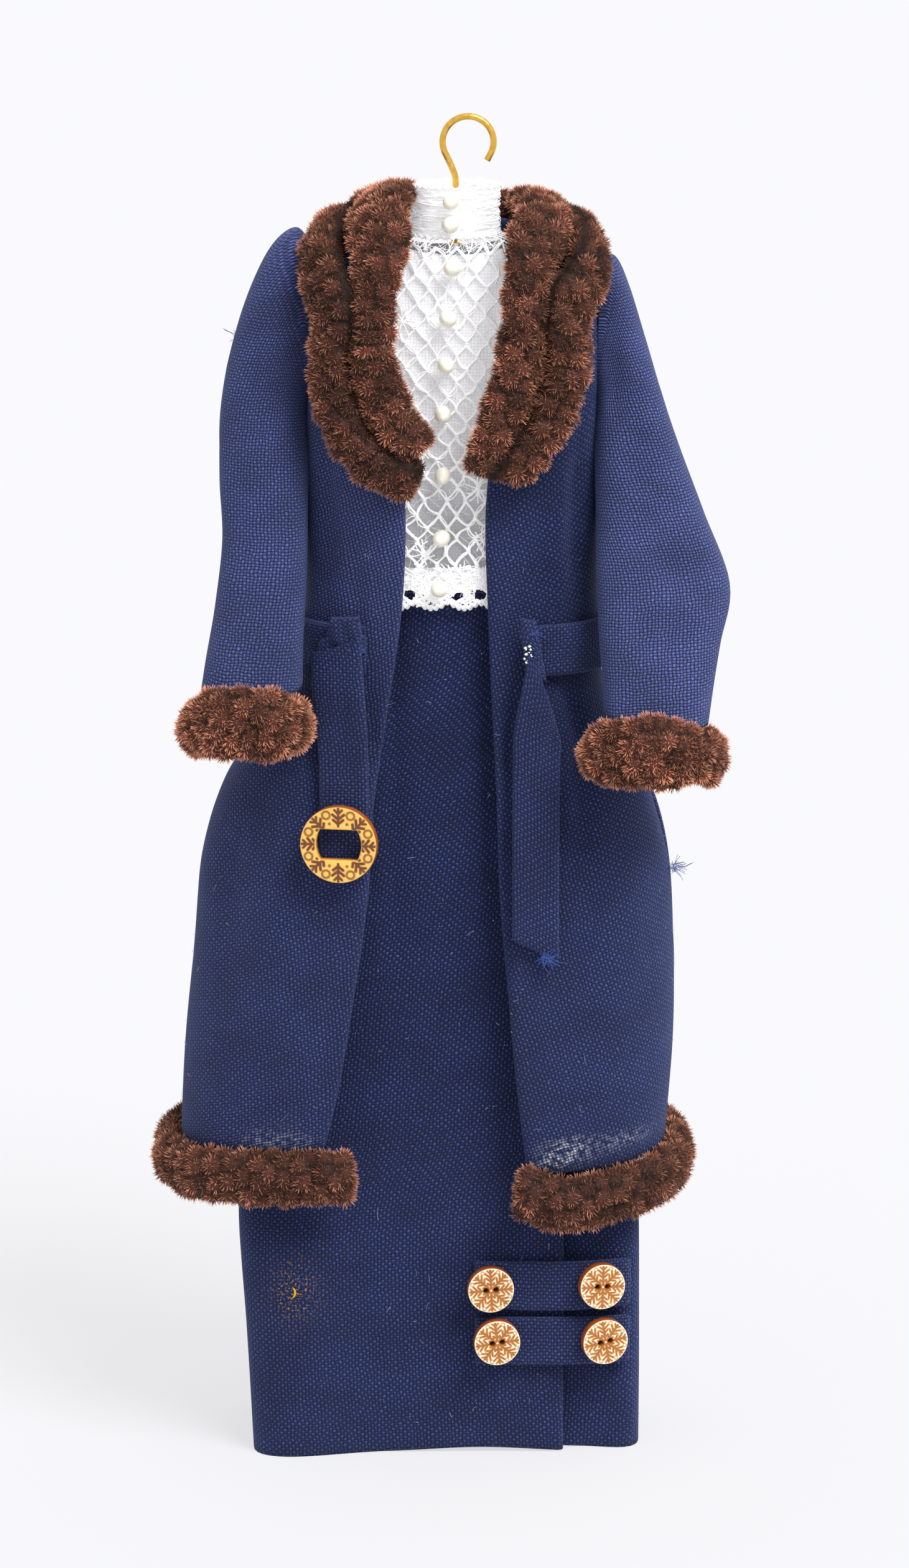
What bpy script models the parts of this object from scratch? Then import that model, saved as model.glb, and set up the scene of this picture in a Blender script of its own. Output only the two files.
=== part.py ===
# A doll's-house coat and dress set that stands on its skirt hem, with the wire hook of its hanger on top.
# Lengths are written in millimetres and become metres where a mesh is made. +Z is up, the front faces -Y,
# and left and right are the wearer's, so the left side lies at +X.
import math
from collections import namedtuple
from functools import lru_cache

import bmesh
import bpy
import numpy as np
from mathutils import Quaternion, Vector

MM = 0.001
WALL = 1.0  # thickness of every cloth wall
GAP = 0.3  # clearance along a seam
LAYER = 0.42  # clearance under a cloth that lies over another
SHIFT_X = 1.685  # moves the finished set so that its box is centred on the origin
SHIFT_Y = 1.185
WELD = 1e-4  # points this close become one
SHARP_ANGLE = 40.0  # degrees

Section = namedtuple("Section", "z half_width half_depth centre_x squareness")
SKIRT = [
    Section(0.0, 18.5, 8.0, -0.8, 7.0),
    Section(12.0, 18.8, 8.0, -1.1, 7.0),
    Section(24.0, 19.1, 7.8, -1.5, 5.5),
    Section(32.0, 18.2, 7.2, -1.4, 4.2),
    Section(48.0, 17.0, 6.6, -1.3, 3.4),
    Section(64.0, 14.6, 5.8, -0.9, 3.0),
    Section(75.0, 11.8, 5.0, -0.6, 2.8),
    Section(83.0, 11.0, 4.7, -0.5, 2.7),
]
BLOUSE = [
    Section(83.3, 11.0, 4.7, -0.5, 2.7),
    Section(90.0, 10.9, 4.8, -0.4, 2.7),
    Section(98.0, 11.0, 4.8, -0.3, 2.7),
    Section(105.0, 11.1, 4.7, -0.1, 2.7),
    Section(109.0, 10.9, 4.4, 0.0, 2.6),
    Section(110.8, 10.1, 4.2, 0.0, 2.5),
    Section(112.4, 8.5, 4.0, 0.0, 2.4),
    Section(113.7, 6.5, 3.8, 0.0, 2.3),
    Section(114.7, 4.9, 3.6, 0.0, 2.2),
    Section(115.5, 4.2, 3.5, 0.0, 2.1),
]
NECKBAND = [
    Section(115.9, 4.2, 3.5, 0.0, 2.1),
    Section(118.2, 4.0, 3.4, 0.05, 2.1),
    Section(120.6, 3.95, 3.4, 0.2, 2.1),
]
COAT = [
    Section(31.0, 23.1, 11.9, -3.0, 3.0),
    Section(40.0, 23.2, 11.3, -2.4, 2.9),
    Section(50.0, 22.7, 10.5, -1.9, 2.7),
    Section(58.0, 22.0, 9.8, -1.8, 2.6),
    Section(64.5, 20.0, 9.1, -1.7, 2.6),
    Section(70.0, 16.6, 8.5, -1.3, 2.7),
    Section(75.0, 14.4, 8.0, -0.7, 2.8),
    Section(79.0, 13.5, 7.7, -0.35, 2.9),
    Section(88.0, 13.2, 7.7, -0.3, 2.9),
    Section(97.0, 13.15, 7.8, -0.25, 3.2),
    Section(104.0, 13.0, 7.6, -0.1, 3.8),
    Section(109.0, 13.0, 7.3, 0.0, 3.8),
    Section(112.4, 12.5, 6.8, 0.0, 3.2),
    Section(114.4, 10.6, 6.2, 0.0, 2.7),
    Section(115.9, 8.0, 5.7, 0.0, 2.4),
    Section(117.0, 5.6, 5.0, 0.0, 2.2),
]

# The skirt is one cloth wound round the figure. Its free edge lies on top at the front.
SKIRT_FREE_EDGE_X = 10.4
SKIRT_UNDER_EDGE_X = 5.5
SKIRT_UNDER_INSET = 1.4
SKIRT_INSET_ENDS = (0.13, 0.2)  # share of a turn over which the under layer comes out to the surface
SKIRT_CORNER_FORWARD = 1.9  # the hem's right front corner stands out
SKIRT_CORNER_FROM = (6.0, 17.5)  # how far to the right it starts, and where it is full
CORNER_FADES = (8.0, 36.0)
PLEAT_DEPTH = 0.45
PLEAT_HALF_WIDTH = 0.9
PLEAT_X = (-5.6, 3.4)
PLEAT_FADES = (40.0, 70.0)

Edge = namedtuple("Edge", "z x")
COAT_RIGHT_EDGE = [
    Edge(31.0, -12.3), Edge(35.0, -11.3), Edge(45.0, -9.5), Edge(57.0, -7.9), Edge(63.0, -7.6),
    Edge(72.0, -6.3), Edge(82.0, -4.9), Edge(94.0, -4.7), Edge(97.0, -5.0), Edge(101.0, -6.6),
    Edge(107.0, -7.8), Edge(112.4, -7.9), Edge(115.9, -6.6), Edge(117.0, -5.4),
]
COAT_LEFT_EDGE = [
    Edge(31.0, 6.9), Edge(39.0, 5.8), Edge(46.4, 5.1), Edge(57.0, 4.2), Edge(63.0, 4.0),
    Edge(75.0, 3.4), Edge(82.0, 3.1), Edge(93.0, 3.0), Edge(97.0, 3.5), Edge(102.0, 5.3),
    Edge(107.0, 6.5), Edge(112.4, 7.2), Edge(115.9, 6.4), Edge(117.0, 5.3),
]
LACE_RIGHT_EDGE = [
    Edge(82.0, -6.6), Edge(100.0, -6.6), Edge(108.0, -6.2), Edge(112.5, -5.2), Edge(115.3, -3.6),
]
LACE_LEFT_EDGE = [
    Edge(82.0, 5.2), Edge(100.0, 5.0), Edge(108.0, 5.4), Edge(112.5, 4.9), Edge(115.3, 3.5),
]
LACE_HEM_Z = 81.6
LACE_TOP_Z = 115.1
SCALLOPS = 4
SCALLOP_DEPTH = 0.8

HEM_SIDE_DIP = 1.0  # the coat's hem is this much lower at the sides
HEM_FADES = 6  # power of the height over which the hem's shape fades
LEFT_FRONT_DROP = 2.2  # the left front hangs lower towards its edge
ARMHOLE_CENTRE_Z = 107.2
ARMHOLE_HALF_HEIGHT = 6.1
ARMHOLE_HALF_DEPTH = 3.9
ARMHOLE_TURNS = np.linspace(0.0, 0.22, 60)  # shares of a turn from the side line, where its edge may be

# Each row is one ring of a sleeve: its outer or top point, its inner or under point, and its middle's depth.
Ring = namedtuple("Ring", "outer_x outer_z inner_x inner_z centre_y half_depth")
RIGHT_SLEEVE = [
    Ring(-14.8, 115.0, -13.6, 101.8, 0.0, 4.2),
    Ring(-16.0, 116.4, -13.8, 101.0, -0.2, 4.1),
    Ring(-17.6, 114.4, -13.9, 100.2, -0.5, 4.1),
    Ring(-19.4, 110.4, -14.0, 99.2, -1.0, 4.1),
    Ring(-20.8, 105.6, -14.0, 97.8, -1.7, 4.1),
    Ring(-21.7, 100.0, -13.9, 95.6, -2.7, 4.1),
    Ring(-21.8, 94.0, -13.9, 91.8, -4.0, 4.1),
    Ring(-21.5, 88.4, -13.9, 87.4, -5.6, 4.1),
    Ring(-22.1, 82.8, -14.0, 82.4, -7.6, 4.1),
    Ring(-22.9, 78.0, -14.0, 78.3, -9.4, 4.1),
    Ring(-23.4, 74.6, -14.0, 75.4, -10.7, 4.1),
]
LEFT_SLEEVE = [
    Ring(14.0, 113.4, 13.4, 101.6, 0.0, 4.2),
    Ring(15.1, 113.5, 13.4, 100.9, -0.2, 4.1),
    Ring(16.4, 110.8, 13.3, 100.1, -0.5, 4.1),
    Ring(17.7, 106.4, 13.3, 99.0, -1.1, 4.1),
    Ring(19.2, 101.4, 13.3, 97.4, -1.9, 4.1),
    Ring(21.0, 96.2, 13.3, 94.6, -3.0, 4.1),
    Ring(23.2, 90.4, 13.4, 90.4, -4.6, 4.1),
    Ring(25.5, 84.3, 13.5, 85.4, -6.6, 4.1),
    Ring(24.6, 79.3, 13.6, 79.6, -8.6, 4.1),
    Ring(23.9, 75.4, 13.7, 75.8, -10.0, 4.1),
    Ring(23.4, 72.2, 13.8, 73.15, -11.0, 4.1),
]
SLEEVE_SQUARENESS = 3.0

# Fur trims are chenille stems, so each is a soft oval tube with shallow lumps.
FUR_SIDES = 8
FUR_LUMP = 0.05
FUR_LUMP_PITCH = 5.5
FUR_END_SIZES = (0.62, 0.9, 1.0)  # a cut end tapers over its last rings
COLLAR_INNER_HALF_WIDTH = 2.15
COLLAR_OUTER_HALF_WIDTH = 1.8
COLLAR_HALF_THICKNESS = 1.75
COLLAR_RINGS_PER_SPOT = 3
CUFF_HALF_HEIGHT = 2.75
CUFF_HALF_THICKNESS = 1.45
HEM_FUR_HALF_HEIGHT = 2.65
HEM_FUR_HALF_THICKNESS = 2.1
HEM_FUR_OUT = 0.9  # its middle is this far out from the cloth's face
HEM_FUR_RINGS = 40
HEM_FUR_END_X = (-9.3, 5.6)
HEM_FUR_DROP = 3.0  # under the left front
HEM_FUR_END_RISE = 1.8  # the left front end curls up

# A spot on the coat under a collar strip. At the front it states x, and elsewhere the share of a turn from
# the front's middle, going round by the wearer's right, so that the shoulders are at 0.25 and 0.75.
Spot = namedtuple("Spot", "place across z")
COLLAR_INNER = [
    Spot("right front", -3.9, 97.5), Spot("right front", -5.9, 101.0), Spot("right front", -7.4, 105.2),
    Spot("right front", -7.7, 109.6), Spot("right front", -7.1, 113.6), Spot("round", 0.25, 116.8),
    Spot("round", 0.37, 116.3), Spot("round", 0.5, 115.8), Spot("round", 0.63, 116.3),
    Spot("round", 0.75, 116.7), Spot("left front", 6.6, 113.6), Spot("left front", 6.3, 109.2),
    Spot("left front", 5.6, 104.8), Spot("left front", 4.2, 100.2), Spot("left front", 2.1, 95.7),
]
COLLAR_OUTER = [
    Spot("right front", -4.4, 93.3), Spot("right front", -8.3, 96.2), Spot("right front", -10.8, 100.4),
    Spot("right front", -11.8, 105.4), Spot("right front", -11.3, 110.6), Spot("round", 0.25, 114.5),
    Spot("round", 0.37, 112.9), Spot("round", 0.5, 111.6), Spot("round", 0.63, 112.9),
    Spot("round", 0.75, 114.7), Spot("left front", 10.2, 110.6), Spot("left front", 9.8, 105.4),
    Spot("left front", 8.3, 99.6), Spot("left front", 4.9, 93.6),
]
Cuff = namedtuple("Cuff", "x y z half_width half_depth tilt")
RIGHT_CUFF = Cuff(-19.1, -11.4, 71.75, 4.85, 4.35, 0.4)
LEFT_CUFF = Cuff(18.2, -11.7, 69.5, 5.4, 4.1, -0.5)
CUFF_RINGS = 22

BELT_Z = (75.7, 80.6)
BELT_RIGHT_END_X = -8.0
BELT_LEFT_END_X = 7.2
# A hanging end of the belt is given by its corners, and narrows to the top pair where it is folded in.
Strap = namedtuple(
    "Strap",
    "top_outer_z top_inner_z bottom_outer_z bottom_inner_z outer_x inner_x top_outer_x top_inner_x",
)
BUCKLE_STRAP = Strap(78.2, 79.8, 57.6, 57.6, -12.4, -7.9, -11.8, -8.3)
FREE_STRAP = Strap(77.4, 78.6, 49.2, 51.2, 9.6, 5.3, 8.4, 6.4)
STRAP_NARROWS_OVER = 6.0
STRAP_LIFT_TOP = WALL + 2 * LAYER  # over the belt
STRAP_LIFT_LOW = LAYER
STRAP_LIFT_ENDS = (67.0, 75.0)

BUCKLE_X, BUCKLE_Z = -10.4, 60.4
BUCKLE_RADIUS = 3.6
BUCKLE_SIDES = 32
BUCKLE_THICK = 1.2
BUCKLE_HOLE_HALF_WIDTH = 1.75
BUCKLE_HOLE_HALF_HEIGHT = 1.45
BUCKLE_HOLE_BULGE = 0.4  # the hole's short sides bow out
BUCKLE_HOLE_STEPS = (-1.0, -2 / 3, -1 / 3, 0.0, 1 / 3, 2 / 3, 1.0)  # places along a short side
BUCKLE_CLEAR = 0.55

TAB_X = (1.9, 16.3)
UPPER_TAB_Z = (14.6, 19.3)
LOWER_TAB_Z = (9.1, 13.8)
BUTTON_RADIUS = 2.2
BUTTON_SIDES = 24
BUTTON_THICK = 1.1
BUTTON_HOLE_RADIUS = 0.24
BUTTON_HOLE_SIDES = 6
BUTTON_HOLE_SPREAD = 0.48
Fastener = namedtuple("Fastener", "name x z turn")
BUTTONS = [
    Fastener("button_upper_right", 3.4, 17.0, 0.05),
    Fastener("button_upper_left", 13.6, 17.2, -0.03),
    Fastener("button_lower_right", 4.0, 11.8, 0.12),
    Fastener("button_lower_left", 13.9, 11.8, 0.16),
]
PEARL_RADIUS = 0.8
PEARL_SEGMENTS, PEARL_RINGS = 8, 6
PEARLS_ON_BAND = [(-0.25, 119.5), (-0.3, 117.3)]
PEARLS_ON_LACE = [
    (-0.2, 113.2), (-0.6, 108.8), (-0.8, 104.7), (-1.1, 100.2), (-1.1, 94.5), (-1.2, 88.7), (-1.4, 83.9),
]

WIRE_RADIUS = 0.3
WIRE_WELD = 1e-3  # the caps' points lie this close to the wire's
HOOK_CENTRE = (1.25, 124.45)
HOOK_RADIUS = 2.35
HOOK_ARC = (-28.0, 205.0)  # degrees, from the free tip over the top to the stem
HOOK_POINTS, STEM_POINTS, ARM_POINTS = 18, 9, 13
STEM = [(-0.75, 123.2), (-0.2, 122.0), (0.1, 120.9), (0.05, 119.0), (0.0, 116.0)]
HANGER_TOP_Z = 115.0
HANGER_END_Z = 109.5
HANGER_END_X = 9.2
HANGER_BOW = 1.15  # power of the way out along an arm by which it drops

# Columns and rows of each cloth's mesh.
Grid = namedtuple("Grid", "columns rows")
SKIRT_GRID = Grid(46, 8)
TAB_GRID = Grid(8, 1)
BLOUSE_GRID = Grid(10, len(BLOUSE) - 1)
LACE_GRID = Grid(16, len(BLOUSE))  # the blouse's own levels, so that it keeps clear of it, and its scallops
NECKBAND_GRID = Grid(16, 2)
COAT_FRONT_GRID = Grid(10, 20)
COAT_BACK_GRID = Grid(14, 15)
SLEEVE_GRID = Grid(14, 11)
BELT_GRID = Grid(28, 1)
STRAP_GRID = Grid(2, 8)

Finish = namedtuple("Finish", "colour roughness metallic")
FINISHES = {
    "navy_cloth": Finish((0.022, 0.045, 0.165), 0.85, 0.0),
    "white_lining": Finish((0.80, 0.80, 0.81), 0.8, 0.0),
    "white_lace": Finish((0.92, 0.92, 0.92), 0.7, 0.0),
    "brown_fur": Finish((0.115, 0.045, 0.025), 0.95, 0.0),
    "engraved_wood": Finish((0.68, 0.40, 0.14), 0.55, 0.0),
    "pearl": Finish((0.88, 0.83, 0.71), 0.25, 0.0),
    "brass_wire": Finish((0.72, 0.48, 0.13), 0.28, 1.0),
}


def clear_scene():
    for obj in list(bpy.data.objects):
        bpy.data.objects.remove(obj)


def material(slot):
    found = bpy.data.materials.get(slot)
    if found:
        return found
    made = bpy.data.materials.new(slot)
    made.use_nodes = True
    shader = made.node_tree.nodes["Principled BSDF"]
    finish = FINISHES[slot]
    shader.inputs["Base Color"].default_value = (*finish.colour, 1.0)
    shader.inputs["Roughness"].default_value = finish.roughness
    shader.inputs["Metallic"].default_value = finish.metallic
    return made


def add_object(name, data, slot, parent):
    obj = bpy.data.objects.new(name, data)
    data.materials.append(material(slot))
    bpy.data.collections["coat_and_dress_set"].objects.link(obj)
    obj.parent = parent
    return obj


def smooth_mix(knots, values, at):
    """A smooth curve through the values at the knots, read at one place."""
    knots = np.asarray(knots, float)
    values = np.asarray(values, float)
    slopes = np.gradient(values, knots)
    i = int(np.clip(np.searchsorted(knots, at) - 1, 0, len(knots) - 2))
    span = knots[i + 1] - knots[i]
    t = float(np.clip((at - knots[i]) / span, 0.0, 1.0))
    return (
        (2 * t**3 - 3 * t**2 + 1) * values[i]
        + (t**3 - 2 * t**2 + t) * span * slopes[i]
        + (3 * t**2 - 2 * t**3) * values[i + 1]
        + (t**3 - t**2) * span * slopes[i + 1]
    )


def ease(value, low, high):
    """0 below low, 1 above high, and smooth in between."""
    t = min(1.0, max(0.0, (value - low) / (high - low)))
    return t * t * (3 - 2 * t)


def edge_at(edges, z):
    return smooth_mix([e.z for e in edges], [e.x for e in edges], z)


class Form:
    """A closed cloth form given by sections. A level is a place along the table of sections, and a turn is
    the share of the way round from the front's middle: 0.25 is the wearer's left side and 0.5 the back."""

    SAMPLES = 480  # points round one outline
    LEVELS_PER_SECTION = 20
    TURN_STEP = 0.004  # how far apart the points are that give a normal
    LEVEL_STEP = 0.04

    def __init__(self, sections):
        self.sections = sections
        self.top = len(sections) - 1
        self.levels = np.linspace(0.0, self.top, self.LEVELS_PER_SECTION * self.top + 1)
        knots = range(len(sections))
        self.heights = [smooth_mix(knots, [s.z for s in sections], level) for level in self.levels]

    @lru_cache(maxsize=4000)
    def outline(self, level):
        knots = range(len(self.sections))
        s = Section(*(smooth_mix(knots, column, level) for column in zip(*self.sections)))
        angles = np.linspace(-math.pi, math.pi, self.SAMPLES + 1)
        power = 2.0 / s.squareness
        xs = s.centre_x + s.half_width * np.sign(np.sin(angles)) * np.abs(np.sin(angles)) ** power
        ys = -s.half_depth * np.sign(np.cos(angles)) * np.abs(np.cos(angles)) ** power
        steps = np.hypot(np.diff(xs), np.diff(ys))
        turns = np.concatenate([[0.0], np.cumsum(steps)]) / steps.sum() - 0.5
        return s, turns, xs, ys, float(steps.sum())

    def bare(self, level, turn):
        level = min(self.top, max(0.0, level))
        s, turns, xs, ys, _ = self.outline(round(level, 5))
        turn = (turn + 0.5) % 1.0 - 0.5
        return Vector((np.interp(turn, turns, xs), np.interp(turn, turns, ys), s.z))

    def normal(self, level, turn):
        across = self.bare(level, turn + self.TURN_STEP) - self.bare(level, turn - self.TURN_STEP)
        up = self.bare(level + self.LEVEL_STEP, turn) - self.bare(level - self.LEVEL_STEP, turn)
        return across.cross(up).normalized()

    def point(self, level, turn, out=0.0):
        return self.bare(level, turn) + self.normal(level, turn) * out

    def around(self, level):
        return self.outline(round(level, 5))[-1]

    def level_of(self, z):
        return float(np.interp(z, self.heights, self.levels))

    def turn_of(self, level, x):
        _, turns, xs, _, _ = self.outline(round(level, 5))
        front = slice(self.SAMPLES // 4, 3 * self.SAMPLES // 4 + 1)
        return float(np.interp(x, xs[front], turns[front]))


def mesh_from(name, bm):
    mesh = bpy.data.meshes.new(name)
    bm.to_mesh(mesh)
    bm.free()
    mesh.shade_smooth()
    mesh.set_sharp_from_angle(angle=math.radians(SHARP_ANGLE))
    return mesh


def cloth(name, place, grid, slot, parent):
    """A cloth wall. place(u, v, inward) gives its outer face at inward 0 and its inner face at inward WALL,
    with u along it towards the wearer's left at the front, and v up it, both from 0 to 1."""
    bm = bmesh.new()
    along, up = bm.verts.layers.float.new("along"), bm.verts.layers.float.new("up")
    bmesh.ops.create_grid(bm, x_segments=grid.columns, y_segments=grid.rows, size=0.5)
    for vert in bm.verts:
        vert[along], vert[up] = vert.co.x + 0.5, vert.co.y + 0.5
        vert.co = place(vert[along], vert[up], 0.0) * MM
    bmesh.ops.remove_doubles(bm, verts=bm.verts, dist=WELD * MM)
    whole = [*bm.verts, *bm.edges, *bm.faces]
    extruded = bmesh.ops.extrude_face_region(bm, geom=whole, use_keep_orig=True)
    for vert in extruded["geom"]:
        if isinstance(vert, bmesh.types.BMVert):
            vert.co = place(vert[along], vert[up], WALL) * MM
    bmesh.ops.recalc_face_normals(bm, faces=bm.faces)
    return add_object(name, mesh_from(name, bm), slot, parent)


def fur(name, path, outward, half_width, half_thick, parent, closed=False):
    """A soft oval tube along a path of points. It is half_width along the cloth, and outward holds the
    direction off the cloth at each point."""
    count = len(path)
    steps = count if closed else count - 1
    walked = np.concatenate([[0.0], np.cumsum([(b - a).length for a, b in zip(path, path[1:])])])

    def place(u, v):
        i = round(v * steps) % count
        before = path[i - 1] if closed or i > 0 else path[0]
        after = path[(i + 1) % count] if closed or i < count - 1 else path[-1]
        along = (after - before).normalized()
        away = (outward[i] - along * outward[i].dot(along)).normalized()
        beside = along.cross(away)
        size = 1.0 - FUR_LUMP * (1 - math.cos(2 * math.pi * walked[i] / FUR_LUMP_PITCH)) / 2
        if not closed:
            size *= FUR_END_SIZES[min(i, count - 1 - i, len(FUR_END_SIZES) - 1)]
        angle = 2 * math.pi * (u + 0.5 / FUR_SIDES)
        offset = beside * (half_width * math.cos(angle)) + away * (half_thick * math.sin(angle))
        return path[i] + offset * size

    bm = bmesh.new()
    bmesh.ops.create_grid(bm, x_segments=FUR_SIDES, y_segments=steps, size=0.5)
    for vert in bm.verts:
        vert.co = place(vert.co.x + 0.5, vert.co.y + 0.5) * MM
    bmesh.ops.remove_doubles(bm, verts=bm.verts, dist=WELD * MM)
    bmesh.ops.holes_fill(bm, edges=bm.edges, sides=0)
    bmesh.ops.recalc_face_normals(bm, faces=bm.faces)
    return add_object(name, mesh_from(name, bm), "brown_fur", parent)


def plate(name, outlines, thick, slot, parent):
    """A flat plate with holes: a filled 2D curve, with the outer outline first and each hole after it."""
    curve = bpy.data.curves.new(name, "CURVE")
    curve.dimensions = "2D"
    curve.fill_mode = "BOTH"
    curve.extrude = thick / 2 * MM
    for outline in outlines:
        spline = curve.splines.new("POLY")
        spline.points.add(len(outline) - 1)
        for point, (x, y) in zip(spline.points, outline):
            point.co = (x * MM, y * MM, 0.0, 1.0)
        spline.use_cyclic_u = True
    return add_object(name, curve, slot, parent)


def circle(radius, sides, centre_x=0.0):
    angles = [2 * math.pi * k / sides for k in range(sides)]
    return [(centre_x + radius * math.cos(a), radius * math.sin(a)) for a in angles]


def face_outwards(obj, centre, normal, turn=0.0):
    """Puts a flat piece at a place on a form, facing off it and turned in its own plane."""
    obj.location = centre * MM
    obj.rotation_mode = "QUATERNION"
    obj.rotation_quaternion = normal.to_track_quat("Z", "Y") @ Quaternion((0, 0, 1), turn)


def skirt_pieces(parent):
    form = Form(SKIRT)

    def place(u, v, inward):
        level = v * form.top
        start = form.turn_of(level, SKIRT_UNDER_EDGE_X)
        end = 1.0 + form.turn_of(level, SKIRT_FREE_EDGE_X)
        turn = start + u * (end - start)
        inset = SKIRT_UNDER_INSET * (1.0 - ease(turn, *SKIRT_INSET_ENDS))
        point = form.point(level, turn, -inset - inward)
        if point.y < 0 and turn > 0.5:
            low = 1.0 - ease(point.z, *CORNER_FADES)
            point.y -= SKIRT_CORNER_FORWARD * low * ease(-point.x, *SKIRT_CORNER_FROM)
            for x in PLEAT_X:
                share = max(0.0, 1.0 - abs(point.x - x) / PLEAT_HALF_WIDTH)
                point.y += PLEAT_DEPTH * share * ease(point.z, *PLEAT_FADES)
        if v == 0:
            point.z = 0.0
        return point

    cloth("skirt", place, SKIRT_GRID, "navy_cloth", parent)

    def tab(name, heights):
        def spot(u, v, inward):
            level = form.level_of(heights[0] + v * (heights[1] - heights[0]))
            turn = form.turn_of(level, TAB_X[0] + u * (TAB_X[1] - TAB_X[0]))
            return form.point(level, turn, GAP + WALL - inward)

        cloth(name, spot, TAB_GRID, "navy_cloth", parent)

    tab("skirt_tab_upper", UPPER_TAB_Z)
    tab("skirt_tab_lower", LOWER_TAB_Z)

    rim = circle(BUTTON_RADIUS, BUTTON_SIDES)
    holes = [circle(BUTTON_HOLE_RADIUS, BUTTON_HOLE_SIDES, side * BUTTON_HOLE_SPREAD) for side in (-1, 1)]
    for button in BUTTONS:
        made = plate(button.name, [rim, *holes], BUTTON_THICK, "engraved_wood", parent)
        level = form.level_of(button.z)
        turn = form.turn_of(level, button.x)
        lift = GAP + WALL + LAYER + BUTTON_THICK / 2
        face_outwards(made, form.point(level, turn, lift), form.normal(level, turn), button.turn)


def blouse_pieces(parent):
    form = Form(BLOUSE)

    def half(name, middle_turn):
        def place(u, v, inward):
            level = v * form.top
            span = 0.5 - GAP / form.around(level)
            return form.point(level, middle_turn + (u - 0.5) * span, -inward)

        cloth(name, place, BLOUSE_GRID, "white_lining", parent)

    half("blouse_front", 0.0)
    half("blouse_back", 0.5)

    def lace(u, v, inward):
        row = round(v * LACE_GRID.rows)
        if row == 0:
            z = LACE_HEM_Z - SCALLOP_DEPTH * (abs(math.sin(math.pi * SCALLOPS * u)) - 0.5)
            level = 0.0
        else:
            level = min(row - 1.0, form.level_of(LACE_TOP_Z))
            z = form.bare(level, 0.0).z
        x = edge_at(LACE_RIGHT_EDGE, z) * (1 - u) + edge_at(LACE_LEFT_EDGE, z) * u
        point = form.point(level, form.turn_of(level, x), LAYER + WALL - inward)
        if row == 0:
            point.z = z
        return point

    cloth("lace_front", lace, LACE_GRID, "white_lace", parent)

    band = Form(NECKBAND)

    def neckband(u, v, inward):
        return band.point(v * band.top, u, -inward)

    cloth("neckband", neckband, NECKBAND_GRID, "white_lace", parent)

    def pearl(number, centre):
        bm = bmesh.new()
        bmesh.ops.create_uvsphere(
            bm, u_segments=PEARL_SEGMENTS, v_segments=PEARL_RINGS, radius=PEARL_RADIUS * MM
        )
        obj = add_object(f"pearl_{number}", mesh_from(f"pearl_{number}", bm), "pearl", parent)
        obj.location = centre * MM

    for number, (x, z) in enumerate(PEARLS_ON_BAND):
        level = band.level_of(z)
        pearl(number + 1, band.point(level, band.turn_of(level, x), GAP + PEARL_RADIUS))
    for number, (x, z) in enumerate(PEARLS_ON_LACE):
        level = form.level_of(z)
        lift = WALL + LAYER + GAP + PEARL_RADIUS
        pearl(number + 1 + len(PEARLS_ON_BAND), form.point(level, form.turn_of(level, x), lift))


def hem_dip(turn):
    return HEM_SIDE_DIP * math.sin(2 * math.pi * turn) ** 2


def coat_body(form, parent):
    def armhole_turn(level, side_turn):
        """How far round from the side line the armhole cuts the panels at this level."""
        z = form.bare(level, 0.0).z
        reach = 1.0 - ((z - ARMHOLE_CENTRE_Z) / ARMHOLE_HALF_HEIGHT) ** 2
        seam = GAP / 2 / form.around(level)
        if reach <= 0:
            return seam
        depth = ARMHOLE_HALF_DEPTH * math.sqrt(reach)
        depths = [abs(form.bare(level, side_turn - t).y) for t in ARMHOLE_TURNS]
        return max(seam, float(np.interp(depth, depths, ARMHOLE_TURNS)))

    def front(name, edges, side, hem_drop):
        def place(u, v, inward):
            level = v * form.top
            z = form.bare(level, 0.0).z
            edge = form.turn_of(level, edge_at(edges, z))
            seam = side * (0.25 - armhole_turn(level, side * 0.25))
            share = u if side > 0 else 1 - u
            turn = edge + share * (seam - edge)
            point = form.point(level, turn, -inward)
            point.z -= (hem_drop * (1 - share) + hem_dip(turn)) * (1 - v) ** HEM_FADES
            return point

        cloth(name, place, COAT_FRONT_GRID, "navy_cloth", parent)

    front("coat_front_right", COAT_RIGHT_EDGE, -1, 0.0)
    front("coat_front_left", COAT_LEFT_EDGE, 1, LEFT_FRONT_DROP)

    def back(u, v, inward):
        level = v * form.top
        cut = armhole_turn(level, 0.25)
        turn = 0.25 + cut + u * (0.5 - 2 * cut)
        point = form.point(level, turn, -inward)
        point.z -= hem_dip(turn) * (1 - v) ** HEM_FADES
        return point

    cloth("coat_back", back, COAT_BACK_GRID, "navy_cloth", parent)


def sleeve(name, rings, parent):
    columns = list(zip(*rings))
    knots = range(len(rings))

    def place(u, v, inward):
        at = (1 - v) * (len(rings) - 1)
        r = Ring(*(smooth_mix(knots, column, at) for column in columns))
        centre = Vector(((r.outer_x + r.inner_x) / 2, r.centre_y, (r.outer_z + r.inner_z) / 2))
        across = Vector(((r.outer_x - r.inner_x) / 2, 0.0, (r.outer_z - r.inner_z) / 2))
        shrink = 1.0 - inward / across.length
        angle = 2 * math.pi * u * math.copysign(1.0, r.outer_x)
        power = 2.0 / SLEEVE_SQUARENESS
        cos = math.copysign(abs(math.cos(angle)) ** power, math.cos(angle))
        sin = math.copysign(abs(math.sin(angle)) ** power, math.sin(angle))
        return centre + across * (cos * shrink) + Vector((0, sin * (r.half_depth - inward), 0))

    cloth(name, place, SLEEVE_GRID, "navy_cloth", parent)


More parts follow.
